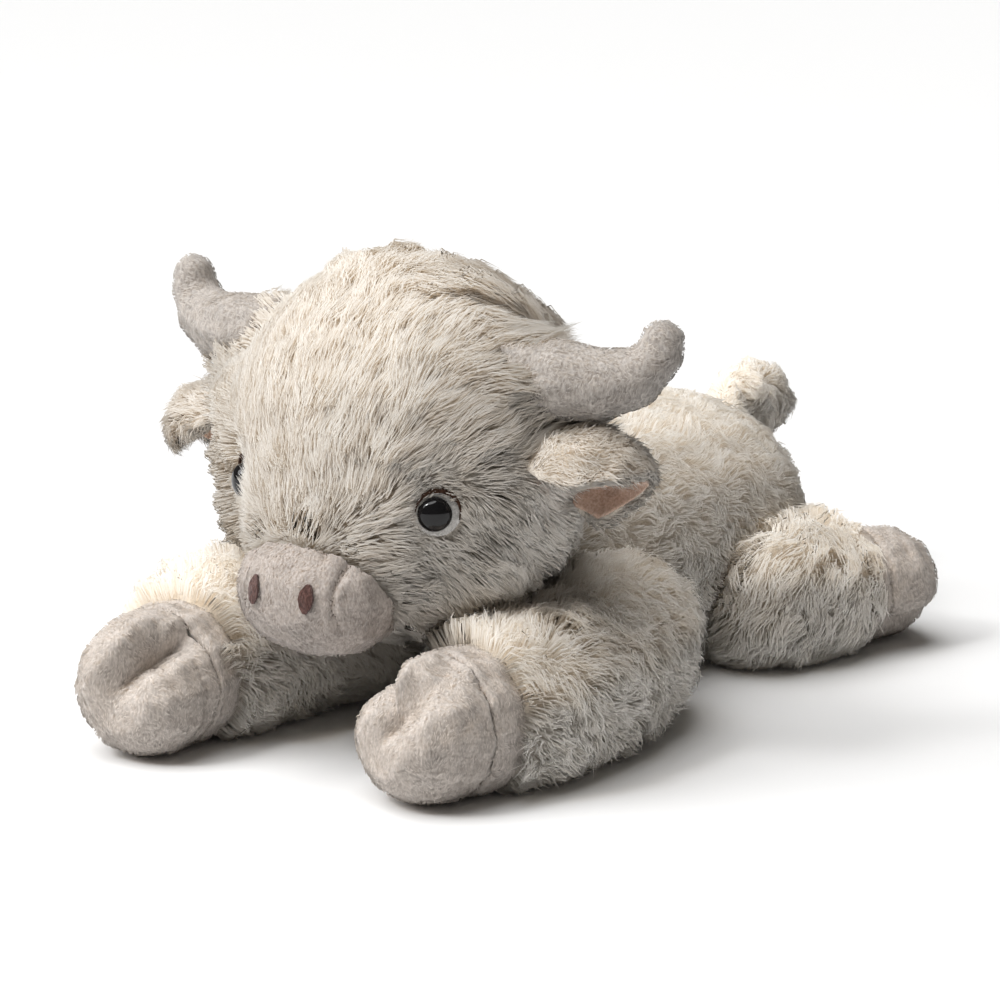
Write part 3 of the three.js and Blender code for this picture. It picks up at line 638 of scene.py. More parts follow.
def grow(name, skin, body, material, slot="fur", parts=1, **look):
    """Grows a coat and splits it, from front to back, in pieces small enough to keep."""
    points, tone, shading = coat(look, skin)
    order = np.argsort(points[:, 0, 1], kind="stable")
    for k, share in enumerate(np.array_split(order, parts)):
        title = f"{name}_fur" + (f"_{k + 1}" if parts > 1 else "")
        hair_piece(title, points[share], tone[share], shading[share], body, slot, material)
        print(title, len(share), "hairs,", len(share) * len(HAIR_FACES), "triangles")

print("comb ready")

# %% [markdown]
# ## Which way the pile lies
# The maker cuts each panel so that its pile runs a chosen way, and brushing does the rest. On this cow it runs up
# from the nose, outwards over the temples, back along the cheeks and the forelegs, and down the body behind them.
# Painted vector maps could say that. A few lines of arithmetic on the place are shorter and stay editable.

# %% Lines that part the head's pile
def parting(z):
    """How far from the middle the forehead's pile ends, at a height: both in mm."""
    return np.interp(z, [104, 113, 127, 133, 141, 151, 168, 186, 204], [0, 16, 38, 45, 51, 52, 50, 43, 35])


def above_crest(x, y, z):
    """How far behind the crest over each temple a place is, in mm, and how much the crest counts there."""
    away = np.abs(x)
    line_y = np.interp(away, [20, 24, 33, 39, 52, 72], [-130, -128, -120, -115, -105, -107])
    line_z = np.interp(away, [20, 24, 33, 39, 52, 72], [205, 205, 206, 205, 199, 189])
    counts = smoothstep(away, 12, 24) * smoothstep(z, 176, 184) * (1 - smoothstep(away, 74, 82))
    counts = counts * np.where(x > 0, 1.0, 0.3)
    return 0.7 * (y - line_y) + 0.7 * (z - line_z), counts * (1 - smoothstep(y, -75, -55))


muzzle_rim = Neighbours(["muzzle_skin"])
horn_roots = Neighbours(["horn_left_skin", "horn_right_skin"])
ear_roots = Neighbours(["ear_left_back", "ear_right_back"])


def horn_collar(place):
    """1 in front of a horn's root, where the pile lies up against the horn and hides its seam."""
    return (1 - smoothstep(horn_roots.distance(place), 0.009, 0.019)) * (1 - smoothstep(place[:, 1], -0.108, -0.094))


def ear_collar(place):
    """1 in front of an ear's root, where the pile stands up and hides how the ear is sewn on."""
    return (1 - smoothstep(ear_roots.distance(place), 0.007, 0.018)) * (1 - smoothstep(place[:, 1], -0.102, -0.088))

print("the forehead's pile ends", parting(150), "mm from the middle at 150 mm up")

# %% Directions on the head
def head_lean(place):
    """How far the tips lean outwards round the horns and ears, over what is sewn on there."""
    share = np.maximum(horn_collar(place), ear_collar(place))[:, None]
    return share * vectors(0.015 * np.sign(place[:, 0]), -0.002, 0.0)


def head_flow(place, normal):
    """Up from the nose, outwards over the crest, back along the cheeks, and down behind."""
    x, y, z = (place / MM).T
    out = np.sign(x)
    behind, counts = above_crest(x, y, z)
    crown = smoothstep(behind, -1.5, 1.5) * counts
    beyond = np.abs(x) - parting(z)
    cheek = smoothstep(beyond, -6, 6) * (1 - crown)
    rear = smoothstep(y, -90, -62)
    forehead = (1 - cheek) * (1 - crown) * (1 - rear)
    near = 1 - smoothstep(np.hypot(x / 40, (z - 79) / 28), 1.2, 2.3)
    near = near * (1 - smoothstep(y, -150, -125))
    drop = np.interp(z, [60, 90, 115, 135, 160, 190], [0.9, 0.5, 0.1, -0.3, -0.5, -0.5])
    drop = drop + 0.5 * smoothstep(beyond, 6, 30)
    over_rim = 1 - smoothstep(muzzle_rim.distance(place), 0.002, 0.007)
    over_rim = over_rim * smoothstep(ripple(place, 0.009, 5), -0.1, 0.7) * smoothstep(z, 88, 98)
    return sum(share[:, None] * way for share, way in (
        (crown, vectors(0.8 * out, 0.12, -0.55)),
        (forehead, vectors(0.012 * x, 0.2, 1)),
        (cheek * (1 - 0.5 * rear), vectors(0.3 * out, 0.9, -drop)),
        (rear, vectors(0.1 * out, 0.6, -0.8)),
        (1.6 * near, unit(vectors(x, 6, z - 84))),
        (1.2 * over_rim, unit(vectors(0.6 * ripple(place, 0.006, 6), -0.6, -0.7))),
        (1.2 * horn_collar(place), unit(vectors(84 * out, -108, 176) - place / MM)),
    ))

print("directions on the head ready")

# %% Directions on the body, legs, tail and ears
def body_flow(place, normal):
    return vectors(0.2 * np.sign(place[:, 0]) * (1 - normal[:, 2]), 0.75, -0.55 - 0.3 * np.abs(normal[:, 0]))


def leg_flow(place, normal):
    return vectors(0.5 * normal[:, 0], 0.62, -0.12 - 0.6 * np.abs(normal[:, 0]))


def hind_flow(place, normal):
    return vectors(-0.35 * np.sign(place[:, 0]) + 0.3 * normal[:, 0], -0.35, -0.8)


def tail_flow(place, normal):
    return vectors(0.5 * normal[:, 0], 0.8, -0.5 + 0.3 * normal[:, 2])


def ear_flow(place, normal):
    """Out along the ear; the right ear hangs, so its pile falls from the outer end and the lower edge."""
    x, z = place[:, 0], place[:, 2]
    low = smoothstep(0.140 - z, 0, 0.012) * (x < 0)
    droop = np.maximum(smoothstep(-x, 0.100, 0.116), low) + 0.25 * smoothstep(x, 0.105, 0.122)
    return np.stack([np.sign(x) * (1 - 1.1 * droop), 0.3 - 0.2 * droop, 0.08 - 0.95 * droop], 1)


def everywhere(place, normal):
    """Thinner where the form rests on the floor."""
    return np.where((place[:, 2] < 0.0025) | (normal[:, 2] < -0.94), 0.45, 1.0)

print("directions ready")

# %% [markdown]
# ## The coats
# Each form has its own length, lift and lock size. The head's pile is the longest, and it is short round the
# eyes and above the muzzle. The pile starts at the backing, so a form and its coat fill the CAD solid together.

# %% Length and height of the head's pile
def middle_of(node):
    """The middle of a node's box."""
    low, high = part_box(node)
    return (np.array(low) + np.array(high)) / 2


eyes = [middle_of(f"eye_{side}_white") for side in SIDES]
muzzle_middle = middle_of("muzzle_skin")
print("eyes at", *(np.round(eye / MM, 1) for eye in eyes), "muzzle", np.round(muzzle_middle / MM, 1))


def eye_distance(place):
    return np.min([np.linalg.norm(place - eye, axis=1) for eye in eyes], axis=0)


def eye_room(place, near, front, rear):
    """Pile is kept short round an eye: further in front of it, towards the nose, than behind it."""
    behind = smoothstep(place[:, 1], -0.146, -0.132)
    rear = np.where(place[:, 0] < 0, rear - 0.006, rear)
    return smoothstep(eye_distance(place), near, front + (rear - front) * behind)


def head_length(place, normal):
    flat = (place - muzzle_middle) / np.array([0.040, 1.0, 0.028])
    rim = smoothstep(np.hypot(flat[:, 0], flat[:, 2]), 0.95, 1.6)
    rim = np.where(place[:, 1] > -0.14, 1, rim)
    room = 0.32 + 0.68 * eye_room(place, 0.012, 0.030, 0.022)
    return 0.0185 * room * (0.62 + 0.38 * rim) * (1 + 0.55 * horn_collar(place))


def head_rise(place, normal):
    x, y, z = (place / MM).T
    cheeks = smoothstep(np.abs(x), 48, 64) * (1 - smoothstep(np.abs(z - 112), 30, 58)) * (1 - smoothstep(y, -95, -70))
    behind, counts = above_crest(x, y, z)
    lip = smoothstep(behind, -0.5, 2.5) * (1 - smoothstep(behind, 10, 24)) * counts
    dip = smoothstep(-behind, -1, 1) * (1 - smoothstep(-behind, 5, 16)) * counts
    slope = smoothstep(z, 148, 170) * smoothstep(-x, 18, 40) * (1 - smoothstep(z, 200, 206))
    near_muzzle = 1 - smoothstep(muzzle_rim.distance(place), 0.002, 0.012)
    corner = smoothstep(np.abs(x), 42, 56) * smoothstep(z, 166, 182) * smoothstep(y, -104, -88)
    full = 0.0112 * (1 + np.where(x < 0, 0.95, 0.50) * cheeks + 0.40 * lip - 0.38 * dip - 0.24 * slope)
    full = full * (1 + 0.85 * horn_collar(place) + 0.60 * ear_collar(place))
    full = full * (1 - 0.45 * near_muzzle) * (1 - 0.5 * corner)
    return full * (0.28 + 0.72 * eye_room(place, 0.0125, 0.034, 0.021))


def head_cover(place, normal):
    return np.where(eye_distance(place) < 0.0125, 0.0, everywhere(place, normal))

print("the head's pile is shaped")

# %% Head coat
skin = {form: Skin(piece) for form, piece in skins.items()}
grow("head", skin["head"], "head", painted_shade_head_hair, parts=4, seed=11, count=92000, width=0.00057, lock=0.0042, draw=0.3,
     loose=0.0014, stray=17, wander=17, curl=8, vary=(0.75, 1.25), gap=0.0030, length=head_length, rise=head_rise,
     lean=head_lean, flow=head_flow, cover=head_cover,
     beside=Neighbours(["torso_skin", "torso_stuffing"]
                       + [f"eye_{side}_{part}" for part in ("white", "button", "lid") for side in SIDES]),
     over=Neighbours(["muzzle_skin", "muzzle_stuffing"]
                     + [f"horn_{side}_{part}" for side in SIDES for part in ("skin", "stuffing")]
                     + [f"ear_{side}_{part}" for side in SIDES for part in ("back", "lining")]))

# %% Torso coat
grow("torso", skin["torso"], "torso", painted_light_body_hair, parts=2, seed=23, count=48000, width=0.00061, lock=0.0046, draw=0.5,
     loose=0.0012, stray=42, wander=58, curl=26, vary=(0.6, 1.3), length=0.0092, rise=0.0068, flow=body_flow,
     cover=everywhere,
     beside=Neighbours([f"{leg}_stuffing" for leg in LEGS] + ["head_skin", "head_stuffing", "tail_stuffing"]))

# %% Leg coats
torso_inside = Neighbours(["torso_stuffing"])


def leg_coat(number, leg):
    """Up the leg; near the cuff the pile is lower and ruffled, and a few tufts lie forwards over the hoof's band."""
    fore = leg in FORELEGS
    sleeve, toe = (points_of(frame["nodes"][f"{leg}_{part}"]) for part in ("sleeve", "hoof_toe"))
    down_leg = unit((toe.mean(axis=0) - sleeve.mean(axis=0)).astype(float))
    cuff = (sleeve @ down_leg).max() - 0.0005
    seed, top = 77 + number, 0.0060 if leg == "foreleg_right" else 0.0026
    print(leg, "cuff", round(cuff / MM, 1), "mm along", np.round(down_leg, 2))

    def cover(place, normal):
        return np.where(place @ down_leg > cuff, 0.0, everywhere(place, normal))

    def flow(place, normal):
        tufts = smoothstep(place @ down_leg, cuff - 0.006, cuff - 0.003) * (ripple(place, 0.011, seed) > 0.35)
        loose = 0.15 + 0.75 * smoothstep(place @ down_leg, cuff - 0.022, cuff - 0.004)
        ruffled = vectors(*(ripple(place, 0.009, seed + 10 * step) for step in (1, 2, 3)))
        base = (leg_flow if fore else hind_flow)(place, normal) + loose[:, None] * ruffled
        return base * (1 - tufts)[:, None] + 1.2 * down_leg * tufts[:, None]

    def rise(place, normal):
        cuffed = 1 - (0.22 if fore else 0.50) * smoothstep(place @ down_leg, cuff - 0.018, cuff - 0.001)
        return (0.0108 + top * smoothstep(normal[:, 2], 0.1, 0.8)) * cuffed

    grow(leg, skin[leg], leg, painted_light_body_hair, seed=31 + number, count=28500 if fore else 20000, width=0.00065,
         lock=0.0046, draw=0.42, loose=0.0022, stray=28, wander=30, curl=12, vary=(0.55, 1.3), gap=0.0022,
         length=0.0115, rise=rise, flow=flow, cover=cover, beside=torso_inside,
         over=Neighbours([f"{leg}_hoof_band", f"{leg}_hoof_toe"]))


for number, leg in enumerate(LEGS):
    leg_coat(number, leg)

# %% Tail coat
grow("tail", skin["tail"], "tail", painted_light_body_hair, seed=41, count=10500, width=0.00054, lock=0.0038, draw=0.35,
     loose=0.0016, stray=34, wander=40, curl=16, vary=(0.7, 1.3), length=0.010,
     rise=lambda place, normal: 0.0118 - 0.0036 * smoothstep(normal[:, 2], 0.0, 0.7),
     flow=tail_flow, cover=everywhere, beside=torso_inside)

# %% [markdown]
# ## Cloven hooves
# A hoof is a heart-shaped panel, a band round it and a seam between them. Stuffing swells both lobes and leaves
# a cleft that runs from the rim into the panel. A boolean cut would leave sharp walls, so the rounded solid is
# pressed in towards the leg's axis instead, by a share that depends on the angle round that axis.

# %% Cleft of a hoof
# The dimple in each hoof's lower lobe: its place, depth and reach in mm.
DIMPLES = {"foreleg_left": ((60.2, -186, 53), 1.6, 5.0), "foreleg_right": ((-66.5, -196, 50), 7.5, 6.5),
           "hindleg_left": ((119.9, 137, 13.6), 2.0, 5.0), "hindleg_right": ((-119.9, 137, 13.6), 2.0, 5.0)}


class Hoof:
    """A hoof's own directions: along the leg, towards the cleft, and across it to the smaller lobe."""

    def __init__(self, leg):
        rows = {part: points_of(frame["nodes"][f"{leg}_{part}"]).astype(float)
                for part in ("sleeve", "hoof_band", "hoof_toe")}
        toe = rows["hoof_toe"]
        self.centre = (toe.min(axis=0) + toe.max(axis=0)) / 2
        self.ahead = unit(toe.mean(axis=0) - rows["sleeve"].mean(axis=0))
        self.ahead = unit(self.ahead * np.array([1, 1, 0]))
        outward = np.array([math.copysign(1, self.centre[0]), 0, 0])
        outward, up = unit(outward - self.ahead * (outward @ self.ahead)), np.array([0, 0, 1])
        turn = math.radians(27 if leg in FORELEGS else 24)
        level, lean = math.cos(turn), math.sin(turn)
        if leg in FORELEGS:
            self.cleft, self.small = -outward * lean + up * level, unit(-outward * level - up * lean)
        else:
            self.cleft, self.small = outward * level - up * lean, unit(-outward * lean - up * level)
        self.cuff = (rows["sleeve"] @ self.ahead).max()
        self.seam = np.percentile(rows["hoof_band"] @ self.ahead, 92)
        self.tip = (toe @ self.ahead).max()
        spot, self.dent, self.reach = DIMPLES[leg]
        self.spot = np.array(spot) * MM

    def pressed(self, rows):
        """The rows with the cleft and the lower lobe pressed in."""
        rows = rows.astype(float)
        offset = rows - self.centre
        height, across = offset @ self.cleft, offset @ self.small
        along_leg = rows @ self.ahead
        angle = np.arctan2(across, height)
        share = np.interp(angle, [-1.2, -0.8, -0.35, -0.17, -0.06, 0.03, 0.16, 0.42, 0.75, 1.1, 1.6],
                          [1.0, 1.03, 1.05, 1.02, 0.88, 0.62, 0.66, 0.80, 0.885, 0.98, 1.02])
        weight = smoothstep(along_leg, self.cuff + 0.002, self.cuff + 0.018)
        share = 1 - (1 - share) * weight
        radial = self.cleft * height[:, None] + self.small * across[:, None]
        rows = rows - radial * (1 - share)[:, None]
        valley = np.exp(-(across / 0.0055) ** 2) * smoothstep(height, -0.008, 0.014)
        valley *= smoothstep(along_leg, self.tip - 0.022, self.tip - 0.004)
        rows = rows - self.ahead * (0.0045 * valley)[:, None]
        inwards = unit(self.centre - self.ahead * 0.010 - self.spot)
        away = rows - self.spot
        level = unit(np.cross(inwards, [0, 0, 1]))
        distance = np.linalg.norm(away - inwards * (away @ inwards)[:, None], axis=1) / MM
        outside = smoothstep(-(away @ inwards), -0.012, -0.004)
        turn = np.arctan2(away @ np.cross(inwards, level), away @ level)
        dent = self.dent * np.exp(-(distance / self.reach) ** 2)
        dent += 0.11 * self.dent * np.cos(9 * turn + 2 * np.sin(2 * turn)) * np.exp(-((distance - 9) / 5) ** 2)
        return rows + inwards * (dent * outside * MM)[:, None]


hooves = {leg: Hoof(leg) for leg in LEGS}
for leg, hoof in hooves.items():
    print(leg, "hoof centre", np.round(hoof.centre / MM, 1), "ahead", np.round(hoof.ahead, 2))

# %% [markdown]
# ## Skins and stuffing behind the coats
# The knitted backing is a thin wall round the stuffing. Both are real pieces, so both are modelled, although
# the coat hides them. The wall could be a plain surface, but a real thickness keeps it a closed piece.

# %% Backings and stuffing
KNIT_THICK, LOOSE = 0.0016, 0.0034
for form, (skin_node, voxel, passes, thick) in furred.items():
    piece, hoof = skins[form], hooves.get(form)
    if hoof:
        with editing(piece):
            bpy.ops.mesh.bisect(plane_co=tuple(hoof.ahead * (hoof.cuff - 0.0005)), plane_no=tuple(hoof.ahead),
                                clear_outer=True)
    modified(piece, "SOLIDIFY", thickness=KNIT_THICK, offset=-1, use_even_offset=False)
    dressed(piece, form, painted_shade_knit, "fur", skin_node, smooth=True, fill=0.6)
    swell = -0.0014 if hoof else thick - LOOSE
    core = rounded(f"{form}_stuffing", f"{form}_filling", voxel * 1.6, passes // 2, swell)
    if hoof:
        set_points(core, hoof.pressed(points_of(core)))
    dressed(core, form, fibre, "fibre", f"{form}_stuffing", smooth=True, fill=0.6)
print("backings and stuffing done")

# %% [markdown]
# ## Short-napped parts
# Muzzle, horns and hooves are cut from short minky cloth, stuffed firmly. Each starts from its own CAD solid,
# remeshed and rounded, so that it stays where it was sewn in.

# %% Minky cloth
LIE = (1, 1, 0.45)
minky_muzzle = cloth_material("muzzle_minky", (0.35, 0.305, 0.275), (0.44, 0.39, 0.355), (0.52, 0.465, 0.43),
                              0.0011, 0.7, sheen=0.3, streak=LIE)
minky_horn = cloth_material("horn_minky", (0.31, 0.28, 0.255), (0.42, 0.385, 0.355), (0.54, 0.50, 0.465),
                            0.0013, 0.7, sheen=0.4, streak=LIE)
minky_hoof = cloth_material("hoof_minky", (0.45, 0.40, 0.36), (0.545, 0.49, 0.445), (0.64, 0.58, 0.53),
                            0.0011, 0.7, sheen=0.3, streak=LIE)

print("minky cloth:", minky_muzzle.name, minky_horn.name, minky_hoof.name)

# %% Rounding and stuffing
def napped(node, voxel, passes, swell, body, material, shaping, fill=0.7):
    """A rounded copy of a short-napped node, given its creases, and never below the floor."""
    name = node.replace("skin", "cover").replace("toe", "panel").replace("band", "side_panel")
    piece = rounded(node, name, voxel, passes, swell)
    set_points(piece, shaping(points_of(piece)))
    modified(piece, "SMOOTH", factor=0.5, iterations=1)
    rows = points_of(piece)
    rows[:, 2] = np.maximum(rows[:, 2], 0.0)
    set_points(piece, rows)
    dressed(piece, body, material, "short_nap", node, smooth=True, fill=fill)
    return piece


def core_of(node, voxel, passes, body):
    """The loose fibre in a short-napped piece."""
    dressed(rounded(node, node.replace("stuffing", "filling"), voxel, passes), body, fibre, "fibre", node,
            smooth=True, fill=0.7)

print("rounding ready")

# %% Sewn lines and soft unevenness
def seam_pressed(rows, line, towards):
    """Rows pressed in along a sewn line: each stop of the line is (x, y, z, depth, width), all in mm."""
    rows = rows.astype(float)
    stops = np.array(line) * MM
    best = np.full(len(rows), 1e9)
    depth, width = np.zeros(len(rows)), np.ones(len(rows))
    for start, stop in zip(stops[:-1], stops[1:]):
        way = stop[:3] - start[:3]
        share = np.clip((rows - start[:3]) @ way / (way @ way), 0, 1)
        spot = start[:3] + share[:, None] * way
        distance = np.linalg.norm(rows - spot, axis=1)
        nearer = distance < best
        best[nearer] = distance[nearer]
        depth[nearer] = (start[3] + share * (stop[3] - start[3]))[nearer]
        width[nearer] = (start[4] + share * (stop[4] - start[4]))[nearer]
    inwards = unit(np.array(towards) * MM - rows)
    return rows + inwards * (depth * np.exp(-(best / width) ** 2))[:, None]


# The muzzle's sewn lines, and the place in mm that each is pressed towards: one side's, and one under the chin.
DARTS = (([(26.3, -172.1, 103.8, 2.6, 2.2), (24.6, -176.3, 97.5, 3.0, 1.9), (24.3, -182.3, 92.2, 2.6, 1.6),
           (23.5, -186.2, 85.6, 2.0, 1.5), (24.7, -186.5, 77.9, 1.6, 1.5), (26.4, -184, 71, 1.5, 1.5),
           (26.5, -180, 65.2, 0.6, 2.0)], (12, -160, 80)),
         ([(13.3, -174.6, 103.7, 1.5, 1.8), (14.9, -179.6, 99.8, 1.3, 1.8), (16.1, -184.6, 95.8, 0.2, 2.6)],
          (8, -160, 80)),
         ([(34, -172, 92, 0.0, 3.0), (36, -170, 80, 0.9, 3.0), (33, -172, 66, 0.0, 3.0)], (12, -160, 80)))
CHIN = [(-20, -190, 60, 0.0, 6.0), (0, -192, 63, 0.7, 6.0), (20, -190, 60, 0.0, 6.0)], (0, -165, 78)


def muzzle_shape(rows):
    """Darts and creases that take the muzzle's corners in, the same on both sides."""
    for side in (1, -1):
        mirror = np.array([side, 1, 1])
        for dart in DARTS:
            rows = seam_pressed(rows * mirror, *dart) * mirror
    rows = seam_pressed(rows, *CHIN)
    bumps = 0.0003 * ripple(rows, 0.009, 71) + 0.00015 * ripple(rows, 0.004, 72)
    return rows + unit(rows - muzzle_middle) * bumps[:, None]


def hoof_shape(hoof):
    """The cleft, the stitched seam's puckers and the soft unevenness of the stuffing."""
    def shaping(rows):
        rows = hoof.pressed(rows)
        offset = rows - hoof.centre
        height, across = offset @ hoof.cleft, offset @ hoof.small
        angle, along_leg = np.arctan2(across, height), rows @ hoof.ahead
        radial = hoof.cleft * height[:, None] + hoof.small * across[:, None]
        pucker = np.exp(-((along_leg - hoof.seam) / 0.0016) ** 2) * (0.0009 + 0.0004 * np.sin(angle * 46))
        soft = 0.0004 * ripple(rows, 0.012, 81) + 0.0002 * ripple(rows, 0.005, 82)
        return rows - unit(radial) * (pucker - soft)[:, None]
    return shaping


def horn_shape(rows):
    return rows + unit(rows - rows.mean(axis=0)) * (0.0003 * ripple(rows, 0.008, 91))[:, None]

print("the muzzle has", len(DARTS), "darts on each side")

# %% Muzzle, horns and hooves
muzzle = napped("muzzle_skin", 0.0012, 8, -0.0007, "head", minky_muzzle, muzzle_shape)
core_of("muzzle_stuffing", 0.0030, 4, "head")
horns, hoof_pieces = {}, {}
for side in SIDES:
    horns[side] = napped(f"horn_{side}_skin", 0.0015, 15, 0.0009, "head", minky_horn, horn_shape)
    core_of(f"horn_{side}_stuffing", 0.0024, 5, "head")
for leg, hoof in hooves.items():
    shape, swell = hoof_shape(hoof), 0.0002 if leg in FORELEGS else 0.0014
    toe = napped(f"{leg}_hoof_toe", 0.0011, 20, swell, leg, minky_hoof, shape)
    hoof_pieces[leg] = (toe, napped(f"{leg}_hoof_band", 0.0014, 7, 0.0006, leg, minky_hoof, shape, fill=0))
print("napped pieces done")

# %% [markdown]
# Minky is a very short pile. Bump alone keeps a hard outline, so a sparse coat of hairs two or three millimetres
# long is added, from the same comb.

# %% Short pile
def minky_hair(name, *colour):
    """Short hairs of the cloth's own colour, painted darker at the root as shade deep in the pile, and lighter at the
    tip.
    """
    # The darker root is painted shade deep in the pile.
    root, middle, tip = (tuple(channel * share for channel in colour) for share in (0.84, 1.0, 1.15))
    return hair_material(name, root, middle, tip, dark=(0.78, 0.765, 0.75))


def short_pile(name, piece, filling, body, material, way, seed, length=0.0030, rise=0.0010):
    """A sparse coat of very short hairs that all lie one way, but none where the piece is sewn in."""
    surface, inner = Skin(piece), Neighbours([filling])

    def outside(place, normal):
        return np.where(inner.holds(place, 0.0024) & ~inner.holds(place + normal * 0.003, 0.0024), 1.0,
                        np.where(inner.holds(place, 0.0016), 0.0, 1.0))

    grow(name, surface, body, material, "short_nap", seed=seed, count=surface.areas.sum() / MM ** 2 * 0.46,
         width=0.00055, lock=0.0022, draw=0.35, loose=0.0004, stray=26, wander=48, curl=12, vary=(0.6, 1.3),
         length=length, rise=rise, flow=lambda place, normal: np.array(way) + 0 * place, cover=outside, beside=inner)


DOWNWARDS = (0.0, 0.05, -1.0)
muzzle_hair = minky_hair("muzzle_hair", 0.52, 0.465, 0.43)
hoof_hair = minky_hair("hoof_hair", 0.645, 0.585, 0.535)
horn_hair = minky_hair("horn_hair", 0.52, 0.48, 0.445)
short_pile("muzzle_pile", muzzle, "muzzle_stuffing", "head", muzzle_hair, DOWNWARDS, 101, length=0.0024, rise=0.0007)
for number, (side, out) in enumerate(zip(SIDES, (1.0, -1.0))):
    short_pile(f"horn_{side}_pile", horns[side], f"horn_{side}_stuffing", "head", horn_hair, (out, -0.1, 0.35),
               103 + number)
for number, (leg, pieces) in enumerate(hoof_pieces.items()):
    for part, piece in zip(("panel", "side_panel"), pieces):
        short_pile(f"{leg}_hoof_{part}_pile", piece, f"{leg}_stuffing", leg, hoof_hair, DOWNWARDS,
                   111 + 2 * number + (part == "panel"))

# %% [markdown]
# ## Ears
# An ear is a furry back and a smooth lining sewn together round the rim and pinched at the root.

# %% Ears
# The ears' pile is painted darker than the head's: painted shade from the horns above them.
painted_shade_ear_hair = hair_material("painted_shade_ear_hair", (0.45, 0.40, 0.35), (0.59, 0.55, 0.50), (0.69, 0.66, 0.62),
                         dark=(0.86, 0.84, 0.81))
minky_lining = cloth_material("lining_minky", (0.46, 0.31, 0.235), (0.55, 0.385, 0.30), (0.64, 0.465, 0.37),
                              0.0011, 0.5, sheen=0.3)


def ear_coat(side, seed, back):
    """Longer away from the lining's rim; the right ear hangs, so its pile is longer at the rim too."""
    rim, least = Neighbours([f"ear_{side}_lining"]), 0.0045 if side == "left" else 0.0095

    def length(place, normal):
        return least + (0.0115 - least) * smoothstep(rim.distance(place), 0.002, 0.009)

    def rise(place, normal):
        return ((least / 2 + 0.0036 * smoothstep(rim.distance(place), 0.002, 0.009))
                * (0.45 + 0.55 * smoothstep(np.abs(place[:, 0]), 0.092, 0.110)))

    def cover(place, normal):
        return (1.0 - rim.holds(place, 0.0022)) * (np.abs(place[:, 0]) > 0.088)

    grow(f"ear_{side}", Skin(back), f"ear_{side}", painted_shade_ear_hair, seed=seed, count=10500, width=0.00052, lock=0.0044,
         draw=0.5, loose=0.0020, stray=30, wander=36, curl=14, vary=(0.6, 1.3), length=length, rise=rise,
         flow=ear_flow, cover=cover, beside=Neighbours([f"ear_{side}_lining", "head_skin", "head_stuffing"]))


for side, seed in zip(SIDES, (51, 52)):
    back = rounded(f"ear_{side}_back", f"ear_{side}_back_cloth", 0.0013, 8)
    dressed(back, f"ear_{side}", painted_shade_knit, "fur", f"ear_{side}_back", smooth=True, fill=0.3)
    lining = rounded(f"ear_{side}_lining", f"ear_{side}_lining_cloth", 0.0009, 6)
    dressed(lining, f"ear_{side}", minky_lining, "ear_lining", f"ear_{side}_lining", smooth=True)
    ear_coat(side, seed, back)

# %% [markdown]
# ## Eyes
# A safety eye is a moulded glossy dome on a stem. The CAD solid has its size, but its facets would show in a
# mirror-like surface. So a copy is subdivided, and its points are moved out to the true dome.

# %% Domes of the eyes
def dome_of(node, name):
    piece = copy_of(node, name)
    rows = points_of(piece).astype(float)
    ring = points_of(frame["nodes"][node.replace("button", "white")]).astype(float)
    outwards = np.linalg.svd(ring - ring.mean(axis=0))[2][2]
    outwards = outwards * np.sign(outwards[0] * rows[:, 0].mean())
    height = rows @ outwards
    rim = height[np.linalg.norm(np.cross(rows - rows.mean(axis=0), outwards), axis=1) > 0.0070].max()
    front = rows[height > rim - 0.00002]
    rimmed = front[np.abs(front @ outwards - rim) < 0.0002]
    middle = (rimmed.min(axis=0) + rimmed.max(axis=0)) / 2
    middle = middle + outwards * (rim - middle @ outwards)
    radius = np.linalg.norm(rimmed - middle, axis=1).max()
    rise = (front @ outwards).max() - rim
    with editing(piece):
        bpy.ops.mesh.subdivide(number_cuts=4)
    rows = points_of(piece).astype(float)
    up = (rows - middle) @ outwards
    flat = rows - middle - outwards * up[:, None]
    size = np.sqrt((np.linalg.norm(flat, axis=1) / radius) ** 2 + (np.maximum(up, 0) / rise) ** 2)
    domed = up > 0.00005
    rows[domed] = middle + (rows[domed] - middle) / size[domed, None]
    set_points(piece, rows)
    only(piece)
    bpy.ops.object.shade_smooth_by_angle(angle=math.radians(40))
    print(name, "radius", round(radius / MM, 2), "rise", round(rise / MM, 2), "mm, faces", len(piece.data.polygons))
    return piece, middle, outwards


# %% [markdown]
# ## Finishes of the rigid pieces
# A safety eye is black plastic with a fine lacquer, and its washer is plain moulded plastic with flow marks.
# A flat colour would look like a hole, so one moulded-surface group varies colour and gloss for both. The felt
# behind the eye and the thread of the nostrils are mottled nap, at a finer size than the minky.

# %% Moulded plastic, felt and thread
def moulded_group():
    """Flow marks of moulded plastic: a colour and a roughness from a place on the piece."""
    inputs = dict(Place="Vector", Scale="Float", Dark="Color", Light="Color", Smoothest="Float", Roughest="Float")
    group, given, shown = node_group("moulded_surface", inputs, dict(Colour="Color", Roughness="Float"))
    marks = node(group, "TexNoise", {"Vector": given["Place"], "Scale": given["Scale"], "Detail": 5,
                                     "Distortion": 0.6}).outputs["Fac"]
    put(group, shown["Colour"], mixed(group, "MIX", marks, given["Dark"], given["Light"]))
    between = node(group, "MapRange", {"Value": marks, "To Min": given["Smoothest"], "To Max": given["Roughest"]})
    put(group, shown["Roughness"], between.outputs["Result"])
    return group


moulded_surface = moulded_group()


